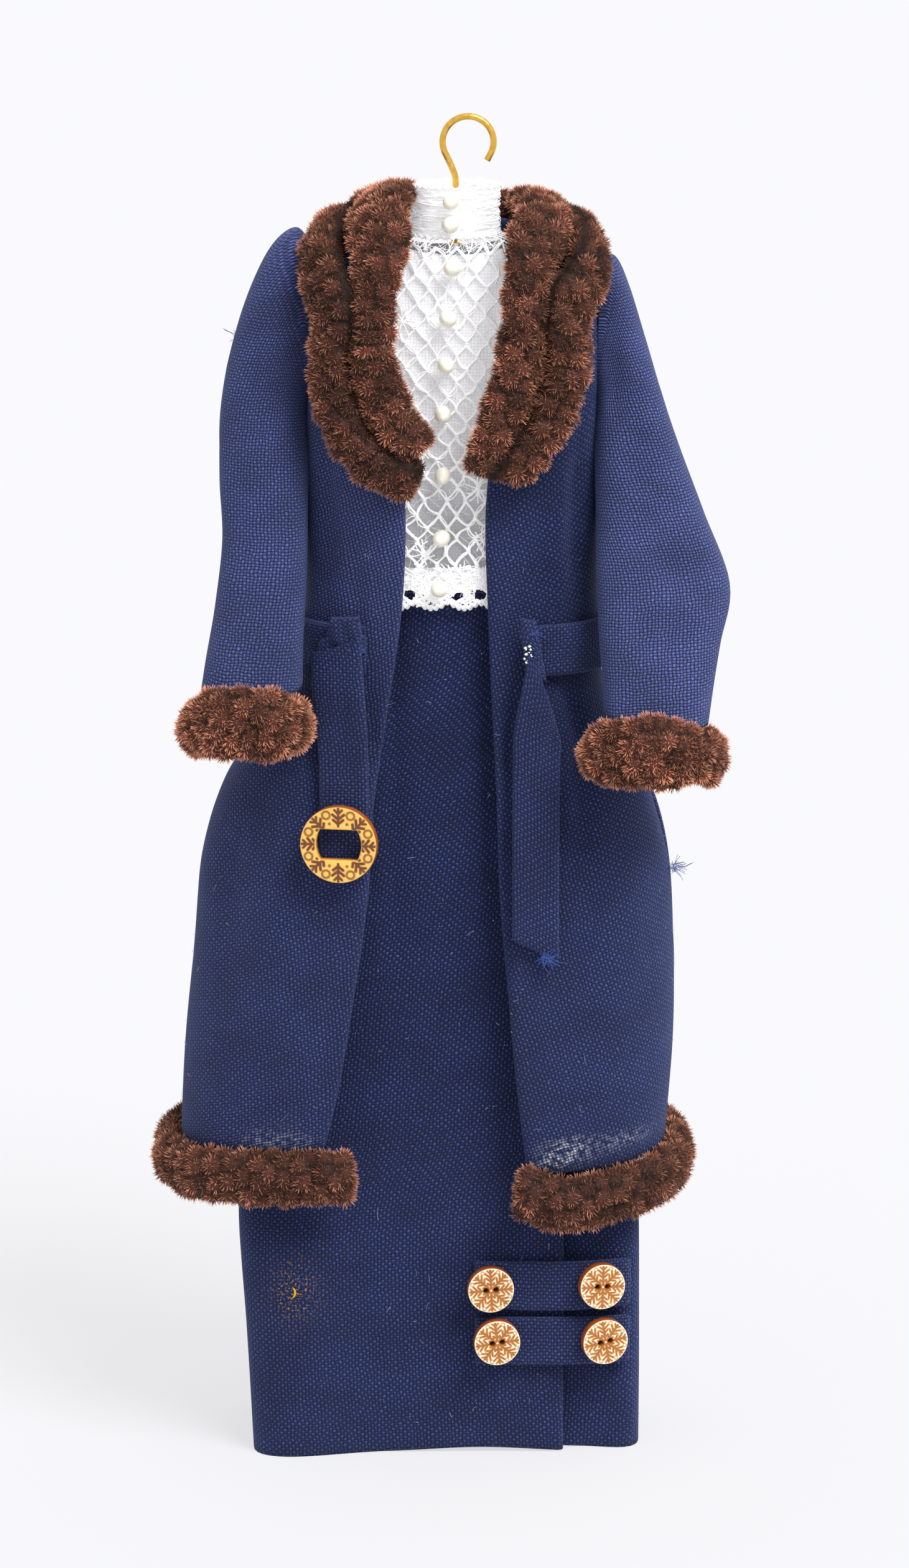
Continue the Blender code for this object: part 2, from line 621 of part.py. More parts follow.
def fur_pieces(form, parent):
    def over_coat(name, spots, half_width):
        stations = []
        for spot in spots:
            level = form.level_of(spot.z)
            turn = -spot.across
            if spot.place != "round":
                turn = form.turn_of(level, spot.across) - (1.0 if spot.place == "left front" else 0.0)
            stations.append((level, turn))
        knots = range(len(stations))
        steps = COLLAR_RINGS_PER_SPOT * (len(stations) - 1)
        path, outward = [], []
        for i in range(steps + 1):
            at = i / steps * (len(stations) - 1)
            level = smooth_mix(knots, [s[0] for s in stations], at)
            turn = smooth_mix(knots, [s[1] for s in stations], at)
            path.append(form.point(level, turn, LAYER + COLLAR_HALF_THICKNESS))
            outward.append(form.normal(level, turn))
        fur(name, path, outward, half_width, COLLAR_HALF_THICKNESS, parent)

    over_coat("collar_fur_inner", COLLAR_INNER, COLLAR_INNER_HALF_WIDTH)
    over_coat("collar_fur_outer", COLLAR_OUTER, COLLAR_OUTER_HALF_WIDTH)

    def cuff(name, c):
        path, outward = [], []
        for i in range(CUFF_RINGS):
            angle = 2 * math.pi * i / CUFF_RINGS
            cos, sin = math.cos(angle), math.sin(angle)
            path.append(Vector((c.x + cos * c.half_width, c.y + sin * c.half_depth, c.z + c.tilt * cos)))
            outward.append(Vector((cos * c.half_depth, sin * c.half_width, 0)).normalized())
        fur(name, path, outward, CUFF_HALF_HEIGHT, CUFF_HALF_THICKNESS, parent, closed=True)

    cuff("cuff_fur_right", RIGHT_CUFF)
    cuff("cuff_fur_left", LEFT_CUFF)

    start = form.turn_of(0.0, HEM_FUR_END_X[1])
    end = 1.0 + form.turn_of(0.0, HEM_FUR_END_X[0])
    path, outward = [], []
    for i in range(HEM_FUR_RINGS + 1):
        turn = start + (end - start) * i / HEM_FUR_RINGS
        point = form.point(0.0, turn, HEM_FUR_OUT)
        drop = HEM_FUR_DROP * (1 - ease(turn, start, 0.25)) - HEM_FUR_END_RISE * (1 - ease(i, 0, 2))
        point.z = COAT[0].z - GAP - HEM_FUR_HALF_HEIGHT - drop - hem_dip(turn)
        path.append(point)
        flat = form.normal(0.0, turn)
        outward.append(Vector((flat.x, flat.y, 0)).normalized())
    fur("hem_fur", path, outward, HEM_FUR_HALF_HEIGHT, HEM_FUR_HALF_THICKNESS, parent)


def belt_pieces(form, parent):
    def band(u, v, inward):
        level = form.level_of(BELT_Z[0] + v * (BELT_Z[1] - BELT_Z[0]))
        start = form.turn_of(level, BELT_LEFT_END_X)
        end = 1.0 + form.turn_of(level, BELT_RIGHT_END_X)
        return form.point(level, start + u * (end - start), LAYER + WALL - inward)

    cloth("belt", band, BELT_GRID, "navy_cloth", parent)

    def strap(name, s):
        def place(u, v, inward):
            share = u if s.outer_x > 0 else 1 - u
            top = s.top_inner_z + share * (s.top_outer_z - s.top_inner_z)
            bottom = s.bottom_inner_z + share * (s.bottom_outer_z - s.bottom_inner_z)
            z = bottom + v * (top - bottom)
            narrow = ease(z, top - STRAP_NARROWS_OVER, top)
            outer = s.outer_x + narrow * (s.top_outer_x - s.outer_x)
            inner = s.inner_x + narrow * (s.top_inner_x - s.inner_x)
            level = form.level_of(z)
            lift = STRAP_LIFT_LOW + (STRAP_LIFT_TOP - STRAP_LIFT_LOW) * ease(z, *STRAP_LIFT_ENDS)
            x = inner + share * (outer - inner)
            return form.point(level, form.turn_of(level, x), lift + WALL - inward)

        cloth(name, place, STRAP_GRID, "navy_cloth", parent)

    strap("belt_end_buckled", BUCKLE_STRAP)
    strap("belt_end_free", FREE_STRAP)

    ring = circle(BUCKLE_RADIUS, BUCKLE_SIDES)
    hole = []
    for side in (1, -1):
        for step in BUCKLE_HOLE_STEPS:
            half_width = BUCKLE_HOLE_HALF_WIDTH + BUCKLE_HOLE_BULGE * (1 - step**2)
            hole.append((side * half_width, side * step * BUCKLE_HOLE_HALF_HEIGHT))
    buckle = plate("belt_buckle", [ring, hole], BUCKLE_THICK, "engraved_wood", parent)
    level = form.level_of(BUCKLE_Z)
    turn = form.turn_of(level, BUCKLE_X)
    lift = STRAP_LIFT_LOW + WALL + BUCKLE_CLEAR + BUCKLE_THICK / 2
    face_outwards(buckle, form.point(level, turn, lift), form.normal(level, turn))


def hanger(parent):
    def wire(name, points):
        curve = bpy.data.curves.new(name, "CURVE")
        curve.dimensions = "3D"
        curve.bevel_depth = WIRE_RADIUS * MM
        curve.bevel_resolution = 2
        curve.use_fill_caps = True
        spline = curve.splines.new("POLY")
        spline.points.add(len(points) - 1)
        for point, (x, z) in zip(spline.points, points):
            point.co = (x * MM, 0.0, z * MM, 1.0)
        return add_object(name, curve, "brass_wire", parent)

    def meshed(obj):
        graph = bpy.context.evaluated_depsgraph_get()
        mesh = bpy.data.meshes.new_from_object(obj.evaluated_get(graph))
        bm = bmesh.new()
        bm.from_mesh(mesh)
        bmesh.ops.remove_doubles(bm, verts=bm.verts, dist=WIRE_WELD * MM)
        bm.to_mesh(mesh)
        bm.free()
        name = obj.name
        bpy.data.objects.remove(obj)
        mesh.materials.clear()
        return add_object(name, mesh, "brass_wire", parent)

    arc = [
        (HOOK_CENTRE[0] + HOOK_RADIUS * math.cos(a), HOOK_CENTRE[1] + HOOK_RADIUS * math.sin(a))
        for a in np.radians(np.linspace(*HOOK_ARC, HOOK_POINTS))
    ]
    knots = range(len(STEM))
    stem = [
        (smooth_mix(knots, [p[0] for p in STEM], t), smooth_mix(knots, [p[1] for p in STEM], t))
        for t in np.linspace(0, len(STEM) - 1, STEM_POINTS)
    ]
    hook = wire("hanger", [*arc, *stem, (0.0, HANGER_TOP_Z)])

    # The arms bow down from the stem to the ends, close under the shoulders.
    arms = [
        (HANGER_END_X * t, HANGER_TOP_Z - (HANGER_TOP_Z - HANGER_END_Z) * abs(t) ** HANGER_BOW)
        for t in np.linspace(-1, 1, ARM_POINTS)
    ]
    bar = wire("hanger_arms", arms)
    bpy.context.view_layer.update()
    hook, bar = meshed(hook), meshed(bar)
    bar.hide_render = True
    bar.display_type = "WIRE"
    bpy.data.collections["cutters"].objects.link(bar)
    bpy.data.collections["coat_and_dress_set"].objects.unlink(bar)
    join = hook.modifiers.new("arms", "BOOLEAN")
    join.operation = "UNION"
    join.object = bar


def main():
    clear_scene()
    for name in ("coat_and_dress_set", "cutters"):
        collection = bpy.data.collections.new(name)
        bpy.context.scene.collection.children.link(collection)
    frame = bpy.data.objects.new("set", None)
    bpy.data.collections["coat_and_dress_set"].objects.link(frame)
    frame.location = (SHIFT_X * MM, SHIFT_Y * MM, 0.0)

    skirt_pieces(frame)
    blouse_pieces(frame)
    coat = Form(COAT)
    coat_body(coat, frame)
    sleeve("sleeve_right", RIGHT_SLEEVE, frame)
    sleeve("sleeve_left", LEFT_SLEEVE, frame)
    fur_pieces(coat, frame)
    belt_pieces(coat, frame)
    hanger(frame)


main()
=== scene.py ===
# Looks for the doll's house coat and dress set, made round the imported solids.
# Tables are in millimetres as seen from the front, and setShift moves them to the set's own origin.
import math

import bmesh
import bpy
import numpy as np
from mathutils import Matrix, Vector


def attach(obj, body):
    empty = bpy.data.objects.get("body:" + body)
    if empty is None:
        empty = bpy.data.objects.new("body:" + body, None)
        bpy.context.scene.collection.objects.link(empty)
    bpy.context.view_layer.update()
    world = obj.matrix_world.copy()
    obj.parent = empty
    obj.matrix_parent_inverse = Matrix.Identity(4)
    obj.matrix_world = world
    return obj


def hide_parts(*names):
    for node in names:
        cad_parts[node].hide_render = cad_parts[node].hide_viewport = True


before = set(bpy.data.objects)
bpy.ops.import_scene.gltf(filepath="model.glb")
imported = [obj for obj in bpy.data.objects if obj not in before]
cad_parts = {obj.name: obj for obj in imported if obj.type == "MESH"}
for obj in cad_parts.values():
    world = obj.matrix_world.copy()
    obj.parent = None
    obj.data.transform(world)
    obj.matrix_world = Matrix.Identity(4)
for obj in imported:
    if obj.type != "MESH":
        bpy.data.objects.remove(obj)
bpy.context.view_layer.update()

mm = 0.001
setShift = np.array([1.685, 1.185, 0.0])
wall = 1.0  # the solids' cloth wall, which the thin cloth lies on the outside of
seamGap = 0.3
layerGap = 0.42


def smoothMix(knots, values, at):
    knots, values, at = (np.asarray(a, float) for a in (knots, values, at))
    slopes = np.gradient(values, knots)
    i = np.clip(np.searchsorted(knots, at) - 1, 0, len(knots) - 2)
    span = knots[i + 1] - knots[i]
    t = np.clip((at - knots[i]) / span, 0, 1)
    start = (2 * t**3 - 3 * t**2 + 1) * values[i] + (t**3 - 2 * t**2 + t) * span * slopes[i]
    return start + (3 * t**2 - 2 * t**3) * values[i + 1] + (t**3 - t**2) * span * slopes[i + 1]


def ease(value, low, high):
    t = np.clip((np.asarray(value, float) - low) / (high - low), 0, 1)
    return t * t * (3 - 2 * t)


formSteps = {"perSection": 24, "turns": 900, "angles": 721}


def makeForm(rows):  # rows of z, half width, half depth, middle x, squareness
    table = np.array(rows, float)
    top = len(table) - 1
    levels = np.linspace(0, top, formSteps["perSection"] * top + 1)
    z, halfWidth, halfDepth, middleX, square = (smoothMix(np.arange(top + 1), c, levels) for c in table.T)
    angle = np.linspace(-math.pi, math.pi, formSteps["angles"])
    turns = np.linspace(-0.5, 0.5, formSteps["turns"] + 1)
    xs, ys, around = [], [], []
    for k in range(len(levels)):
        bend = 2 / square[k]
        x = middleX[k] + halfWidth[k] * np.sign(np.sin(angle)) * np.abs(np.sin(angle)) ** bend
        y = -halfDepth[k] * np.sign(np.cos(angle)) * np.abs(np.cos(angle)) ** bend
        step = np.hypot(np.diff(x), np.diff(y))
        walked = np.concatenate([[0], np.cumsum(step)]) / step.sum() - 0.5
        xs.append(np.interp(turns, walked, x))
        ys.append(np.interp(turns, walked, y))
        around.append(step.sum())
    return {"top": top, "levels": levels, "z": z, "turns": turns,
            "x": np.array(xs), "y": np.array(ys), "around": np.array(around)}


def bareSpot(form, level, turn):
    a = np.clip(level, 0, form["top"]) * formSteps["perSection"]
    i = np.clip(np.floor(a).astype(int), 0, len(form["levels"]) - 2)
    b = ((turn + 0.5) % 1.0) * formSteps["turns"]
    j = np.clip(np.floor(b).astype(int), 0, formSteps["turns"] - 1)
    f, g = a - i, b - j
    x, y = (
        (g1[i, j] * (1 - g) + g1[i, j + 1] * g) * (1 - f) + (g1[i + 1, j] * (1 - g) + g1[i + 1, j + 1] * g) * f
        for g1 in (form["x"], form["y"])
    )
    return np.stack([x, y, form["z"][i] * (1 - f) + form["z"][i + 1] * f], axis=-1)


def spotNormal(form, level, turn):
    across = bareSpot(form, level, turn + 0.004) - bareSpot(form, level, turn - 0.004)
    up = bareSpot(form, level + 0.04, turn) - bareSpot(form, level - 0.04, turn)
    n = np.cross(across, up)
    return n / np.linalg.norm(n, axis=-1, keepdims=True)


def formSpot(form, level, turn, out=0.0):
    level, turn, out = np.broadcast_arrays(*(np.asarray(a, float) for a in (level, turn, out)))
    return bareSpot(form, level, turn) + spotNormal(form, level, turn) * out[..., None]


def levelAt(form, z):
    return np.interp(z, form["z"], form["levels"])


def turnAt(form, level, x):
    level, x = np.broadcast_arrays(np.asarray(level, float), np.asarray(x, float))
    found = np.empty(level.shape)
    quarter = formSteps["turns"] // 4
    front = slice(quarter, 3 * quarter + 1)
    for spot in np.ndindex(level.shape):
        a = min(max(level[spot], 0), form["top"]) * formSteps["perSection"]
        i = min(int(a), len(form["levels"]) - 2)
        row = form["x"][i, front] * (1 - a + i) + form["x"][i + 1, front] * (a - i)
        found[spot] = np.interp(x[spot], row, form["turns"][front])
    return found


def spotAt(form, x, z, out):  # over (x, z) on a form's front
    level = levelAt(form, z)
    return formSpot(form, level, turnAt(form, level, x), out)


def wobble(x, z, seed, size, amount):  # slow unevenness, as of cloth laid by hand
    draw = np.random.default_rng(seed)
    total = np.zeros(np.broadcast(x, z).shape)
    for _ in range(6):
        way, phase = draw.uniform(0, 2 * math.pi, 2)
        pitch = size * draw.uniform(0.7, 1.6)
        total += np.sin((x * math.cos(way) + z * math.sin(way)) * 2 * math.pi / pitch + phase)
    return total * amount / 6


def creaseOut(x, z, creases):  # rows of how far out of the cloth, how wide, then the crease's (x, z) points
    total = np.zeros(x.shape)
    for out, wide, *points in creases:
        points = np.array(points, float)
        legs = np.linalg.norm(np.diff(points, axis=0), axis=1)
        walked = np.concatenate([[0], np.cumsum(legs)])
        best, share = np.full(x.shape, 1e9), np.zeros(x.shape)
        for k, leg in enumerate(legs):
            a, d = points[k], points[k + 1] - points[k]
            t = np.clip(((x - a[0]) * d[0] + (z - a[1]) * d[1]) / (leg * leg), 0, 1)
            away = np.hypot(x - a[0] - t * d[0], z - a[1] - t * d[1])
            nearer = away < best
            best = np.where(nearer, away, best)
            share = np.where(nearer, (walked[k] + t * leg) / walked[-1], share)
        fade = ease(share, 0, 0.25) * ease(1 - share, 0, 0.25)
        total += out * np.exp(-((best / wide) ** 2)) * fade
    return total


def edgeDrop(distance, curve=0.6, drop=0.45):  # how far a turned edge falls off within its last part
    t = np.clip(1 - distance / curve, 0, 1)
    return -drop * (1 - np.sqrt(1 - t * t))


def panelShares(width, count):  # shares across a panel, closer together at its turned edges
    near = np.array([0.0, 0.1, 0.24, 0.42, 0.62]) / width
    middle = np.linspace(near[-1], 1 - near[-1], count)
    return np.concatenate([near[:-1], middle, 1 - near[:-1][::-1]])


def clothUv(spots, anchor, degrees=0.0, closed=False):  # millimetres along the cloth, for the weave
    if closed:
        spots = np.concatenate([spots, spots[:, :1]], axis=1)
    along = np.cumsum(np.linalg.norm(np.diff(spots, axis=1, prepend=spots[:, :1]), axis=2), axis=1)
    along = along - along[:, anchor : anchor + 1]
    up = np.cumsum(np.linalg.norm(np.diff(spots, axis=0, prepend=spots[:1]), axis=2), axis=0)
    c, s = math.cos(math.radians(degrees)), math.sin(math.radians(degrees))
    return np.stack([along * c - up * s, along * s + up * c], axis=-1)


def newObject(name, data):
    made = bpy.data.objects.new(name, data)
    bpy.context.scene.collection.objects.link(made)
    return made


def gridPiece(name, spots, uv=None, closed=False):
    index = np.arange(spots.shape[0] * spots.shape[1]).reshape(spots.shape[:2])
    left, right = (index, np.roll(index, -1, axis=1)) if closed else (index[:, :-1], index[:, 1:])
    quads = np.stack([left[:-1], right[:-1], right[1:], left[1:]], axis=-1).reshape(-1, 4)
    mesh = bpy.data.meshes.new(name)
    mesh.from_pydata(((spots + setShift) * mm).reshape(-1, 3).tolist(), [], quads.tolist())
    if uv is not None:
        corners = np.stack([uv[:-1, :-1], uv[:-1, 1:], uv[1:, 1:], uv[1:, :-1]], axis=2)
        mesh.uv_layers.new(name="weave").data.foreach_set("uv", corners.reshape(-1).astype(np.float32))
    mesh.shade_smooth()
    return newObject(name, mesh)


def paintPoints(piece, name, values):
    layer = piece.data.attributes.new(name, "FLOAT", "POINT")
    layer.data.foreach_set("value", np.asarray(values, np.float32).reshape(-1))


def finishPiece(piece, material, slot, *nodes):  # without nodes it is extra dressing
    if material is not None:
        piece.data.materials.clear()
        piece.data.materials.append(material)
    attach(piece, "root")
    if nodes:
        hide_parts(*nodes)


def finishNavy(piece, node):
    finishPiece(piece, navyCotton, "navy_cloth", node)


def thicken(piece, thickness):
    shell = piece.modifiers.new("cloth thickness", "SOLIDIFY")
    shell.thickness = thickness * mm
    shell.offset = -1
    return piece


def bakeModifiers(piece):
    graph = bpy.context.evaluated_depsgraph_get()
    made = bpy.data.meshes.new_from_object(piece.evaluated_get(graph))
    piece.modifiers.clear()
    piece.data = made
    return piece


def closeSeams(piece):  # joins the points that meet and turns every face outward
    clean = bmesh.new()
    clean.from_mesh(piece.data)
    bmesh.ops.remove_doubles(clean, verts=clean.verts, dist=1e-7)
    bmesh.ops.recalc_face_normals(clean, faces=clean.faces)
    clean.to_mesh(piece.data)
    clean.free()


def plug(tree, node, inputs):  # links a node or a socket, and sets anything else as the input's value
    for key, value in inputs.items():
        if isinstance(value, bpy.types.Node):
            value = value.outputs[0]
        if isinstance(value, bpy.types.NodeSocket):
            tree.links.new(value, node.inputs[key])
        else:
            node.inputs[key].default_value = value


def addNode(tree, kind, inputs=None, **settings):
    node = tree.nodes.new(kind)
    for key, value in settings.items():
        setattr(node, key, value)
    plug(tree, node, inputs or {})
    return node


def mathNode(tree, operation, *values):
    return addNode(tree, "ShaderNodeMath", dict(enumerate(values)), operation=operation)


def vectorNode(tree, operation, *values):
    return addNode(tree, "ShaderNodeVectorMath", dict(enumerate(values)), operation=operation)


def scaleNode(tree, vector, factor):
    return addNode(tree, "ShaderNodeVectorMath", {0: vector, "Scale": factor}, operation="SCALE")


def rangeNode(tree, value, fromMin=0.0, fromMax=1.0, toMin=0.0, toMax=1.0):
    return addNode(tree, "ShaderNodeMapRange", {"Value": value, "From Min": fromMin, "From Max": fromMax,
                                                "To Min": toMin, "To Max": toMax})


def noiseNode(tree, place, scale, detail, dimensions="3D"):
    return addNode(tree, "ShaderNodeTexNoise", {"Vector": place, "Scale": scale, "Detail": detail},
                   noise_dimensions=dimensions)


def objectPlace(tree):
    return addNode(tree, "ShaderNodeTexCoord").outputs["Object"]


def paintedValue(tree, name):
    return addNode(tree, "ShaderNodeAttribute", attribute_name=name).outputs["Fac"]


def bumpNode(tree, strength, depth, height):
    return addNode(tree, "ShaderNodeBump", {"Strength": strength, "Distance": depth * mm, "Height": height})


def hexColour(text):  # sRGB hex to linear
    parts = [int(text[k : k + 2], 16) / 255 for k in (1, 3, 5)]
    return tuple(p / 12.92 if p <= 0.04045 else ((p + 0.055) / 1.055) ** 2.4 for p in parts) + (1.0,)


def colourMix(tree, share, first, second):
    first, second = (hexColour(c) if isinstance(c, str) else c for c in (first, second))
    return addNode(tree, "ShaderNodeMix", {0: share, 6: first, 7: second}, data_type="RGBA").outputs[2]


def newMaterial(name):
    material = bpy.data.materials.new(name)
    material.use_nodes = True
    return material, material.node_tree, material.node_tree.nodes["Principled BSDF"]


def weaveNodes(tree, pitch, wander):
    uv = addNode(tree, "ShaderNodeUVMap", uv_map="weave")
    threads = vectorNode(tree, "MULTIPLY", uv, (1 / pitch[0], 1 / pitch[1], 1.0))
    drift = noiseNode(tree, threads, 0.22, 2.0, "2D")
    centred = vectorNode(tree, "SUBTRACT", drift.outputs["Color"], (0.5, 0.5, 0.5))
    moved = vectorNode(tree, "MULTIPLY_ADD", centred, (wander,) * 3, threads)
    apart = addNode(tree, "ShaderNodeSeparateXYZ", {0: moved})
    waves = [mathNode(tree, "SINE", mathNode(tree, "MULTIPLY", apart.outputs[k], math.pi)) for k in (0, 1)]
    warpUp = mathNode(tree, "GREATER_THAN", mathNode(tree, "MULTIPLY", *waves), 0.0)
    rounds = [mathNode(tree, "ABSOLUTE", wave) for wave in waves]
    longs = [mathNode(tree, "POWER", r, 0.4) for r in rounds]
    warp = mathNode(tree, "MULTIPLY", rounds[0], longs[1])
    weft = mathNode(tree, "MULTIPLY", rounds[1], longs[0])
    height = addNode(tree, "ShaderNodeMix", {0: warpUp, 2: weft, 3: warp})
    cell = vectorNode(tree, "FLOOR", moved)
    random = addNode(tree, "ShaderNodeTexWhiteNoise", {"Vector": cell}, noise_dimensions="2D")
    return {"threads": moved, "height": height, "warpUp": warpUp, "random": random}


print("stage 1: materials")
navyLook = {  # the pitch is from thread to thread, across and along
    "pitch": (0.335, 0.28), "wander": 1.2, "valley": "#0a1029", "thread": "#232d5a", "fleck": "#4b5690",
    "lightAndDust": "#303450", "glue": "#c9ccd4", "paint": "#b98a2c", "fleckShare": 0.45, "roughness": 0.86,
    "sheen": 0.25, "bump": 1.0, "bumpDepth": 0.1,
}


def navyCottonMaterial(look):
    # plain-woven dyed cotton: matte, a pillow at each crossing, darker in the weave's valleys as painted shade,
    # paler flecks where the warp lies on top, partly the yarn's own and partly painted highlight
    material, tree, shader = newMaterial("navyPlainWeaveCotton")
    weave = weaveNodes(tree, look["pitch"], look["wander"])
    fibre, slow, spots, dots = (
        noiseNode(tree, weave["threads"], scale, detail, "2D")
        for scale, detail in ((3.1, 3.0), (0.06, 3.0), (0.55, 4.0), (1.4, 2.0))
    )
    height = mathNode(tree, "MULTIPLY_ADD", fibre, 0.35, weave["height"])
    body = rangeNode(tree, height, 0.25, 1.15)
    base = colourMix(tree, body, look["valley"], look["thread"])
    lucky = rangeNode(tree, weave["random"], toMin=look["fleckShare"], toMax=0.9)
    onTop = mathNode(tree, "MULTIPLY", lucky, weave["warpUp"])
    peak = mathNode(tree, "POWER", weave["height"], 2.2)
    flecked = colourMix(tree, mathNode(tree, "MULTIPLY", onTop, peak), base, look["fleck"])
    lightAndDustOn = mathNode(tree, "MULTIPLY", paintedValue(tree, "paintedLightAndDust"), body)  # painted light and shade: paler where lit, a little also for dust, darker where shaded
    lightAndDusted = vectorNode(tree, "ADD", flecked, scaleNode(tree, hexColour(look["lightAndDust"])[:3], lightAndDustOn))
    toned = scaleNode(tree, lightAndDusted, rangeNode(tree, slow, 0.3, 0.7, 0.82, 1.16))
    crust = mathNode(tree, "MULTIPLY", rangeNode(tree, spots, 0.42, 0.62), paintedValue(tree, "glue"))
    glued = colourMix(tree, mathNode(tree, "MULTIPLY", crust, weave["height"]), toned, look["glue"])
    dotted = mathNode(tree, "MULTIPLY", rangeNode(tree, dots, 0.62, 0.68), paintedValue(tree, "paint"))
    plug(tree, shader, {
        "Base Color": colourMix(tree, dotted, glued, look["paint"]),
        "Normal": bumpNode(tree, look["bump"], look["bumpDepth"], height), "Roughness": look["roughness"],
        "Specular IOR Level": 0.25, "Sheen Weight": look["sheen"], "Sheen Roughness": 0.45,
        "Sheen Tint": hexColour("#8fa2e0"),
    })
    return material


whiteLook = {"pitch": (0.3, 0.3), "wander": 0.7, "valley": "#d6d5d9", "thread": "#ebebed", "shade": "#45454b",
             "roughness": 0.8, "paintedGlow": 0.4}  # a painted glow: the thin cloth gives off light of its own colour, standing in for light coming through it and lightening its shade


def sheerCottonMaterial(look):
    # bleached voile under the net: greyish white, very fine weave; greyer in the weave's valleys and darker where
    # painted shade is set on the points, both painted shade
    material, tree, shader = newMaterial("whiteCottonVoile")
    height = weaveNodes(tree, look["pitch"], look["wander"])["height"]
    tint = colourMix(tree, height, look["valley"], look["thread"])
    withPaintedShade = colourMix(tree, paintedValue(tree, "paintedShade"), tint, look["shade"])
    plug(tree, shader, {
        "Base Color": withPaintedShade, "Normal": bumpNode(tree, 0.4, 0.05, height), "Roughness": look["roughness"],
        "Specular IOR Level": 0.2, "Emission Color": withPaintedShade, "Emission Strength": look["paintedGlow"],
    })
    return material


def laceThreadMaterial():
    # soft white cotton thread: matte, with a faint painted glow standing in for light coming through the fibres
    material, tree, shader = newMaterial("whiteCottonLaceThread")
    fibre = noiseNode(tree, objectPlace(tree), 9000.0, 2.0)
    plug(tree, shader, {
        "Base Color": colourMix(tree, fibre, "#f0efef", "#ffffff"), "Normal": bumpNode(tree, 0.5, 0.04, fibre),
        "Roughness": 0.75, "Specular IOR Level": 0.2, "Sheen Weight": 0.3,
        "Emission Color": hexColour("#ffffff"), "Emission Strength": 0.12,
    })
    return material


pileLook = {"deep": "#3c2018", "body": "#a0664f", "tip": "#e6b497", "clump": 0.5, "patch": 4.0}


def chenilleMaterial(look):
    # brown chenille pile: painted shade makes it dark in the depth, reddish brown along the fibres, a painted
    # highlight makes it paler at the cut tips
    material, tree, shader = newMaterial("brownChenillePile")
    tip = paintedValue(tree, "tip")
    base = colourMix(tree, rangeNode(tree, tip, 0.0, 0.75), look["deep"], look["body"])
    lit = mathNode(tree, "MULTIPLY", rangeNode(tree, tip, 0.45, 1.0), paintedValue(tree, "shade"))
    clump, patch = (
        rangeNode(tree, noiseNode(tree, objectPlace(tree), 1000 / look[size], detail), 0.3, 0.7, 0.85, 1.15)
        for size, detail in (("clump", 3.0), ("patch", 2.0))
    )
    # painted shade: darker in the crevices between tufts
    tone = rangeNode(tree, paintedValue(tree, "crevice"), toMin=1.2, toMax=0.16)
    for part in (paintedValue(tree, "tuftTone"), clump, patch):
        tone = mathNode(tree, "MULTIPLY", tone, part)
    plug(tree, shader, {
        "Base Color": scaleNode(tree, colourMix(tree, lit, base, look["tip"]), tone), "Roughness": 0.7,
        "Specular IOR Level": 0.2, "Sheen Weight": 0.25, "Sheen Roughness": 0.5,
        "Sheen Tint": hexColour("#c08a6a"),
    })
    return material


def engravedWoodMaterial(name, face, mark, deep, rim):
    # laser-engraved birch under thin varnish: pale face, burnt brown marks, scorched side
    material, tree, shader = newMaterial(name)
    grain = addNode(tree, "ShaderNodeMapping", {0: objectPlace(tree), "Scale": (900.0, 900.0, 4200.0)})
    streak = noiseNode(tree, grain, 1.0, 4.0)
    tint = addNode(tree, "ShaderNodeValToRGB", {0: paintedValue(tree, "burn")})
    ramp = tint.color_ramp
    ramp.elements[0].color, ramp.elements[1].color = hexColour(face), hexColour(deep)
    ramp.elements.new(0.6).color = hexColour(mark)
    edged = colourMix(tree, paintedValue(tree, "rim"), tint.outputs[0], rim)
    plug(tree, shader, {
        "Base Color": scaleNode(tree, edged, rangeNode(tree, streak, 0.25, 0.75, 0.86, 1.08)),
        "Normal": bumpNode(tree, 0.15, 0.05, streak), "Roughness": 0.42,
        "Coat Weight": 0.25, "Coat Roughness": 0.25,
    })
    return material


def pearlMaterial():
    # cream seed pearl: smooth lacquered bead with a soft depth
    material, tree, shader = newMaterial("creamSeedPearl")
    cloud = noiseNode(tree, objectPlace(tree), 900.0, 2.0)
    plug(tree, shader, {
        "Base Color": colourMix(tree, cloud, "#efe6cf", "#fdfaf0"), "Roughness": 0.28,
        "Coat Weight": 0.6, "Coat Roughness": 0.12, "Subsurface Weight": 0.15,
        "Subsurface Radius": (1.0, 0.9, 0.7), "Subsurface Scale": 0.3 * mm,
    })
    return material


def brassMaterial():
    # drawn brass wire: warm gold, faint lengthwise scratches
    material, tree, shader = newMaterial("drawnBrassWire")
    marks = noiseNode(tree, objectPlace(tree), 2600.0, 3.0)
    plug(tree, shader, {
        "Base Color": colourMix(tree, marks, "#c98a22", "#f4cf6a"),
        "Roughness": rangeNode(tree, marks, toMin=0.2, toMax=0.4), "Metallic": 1.0,
    })
    return material


def plainMaterial(name, colour, rough, metal=0.0):  # small bits with one colour: fibres, dried glue, paint
    material, tree, shader = newMaterial(name)
    plug(tree, shader, {"Base Color": hexColour(colour), "Roughness": rough, "Metallic": metal})
    return material


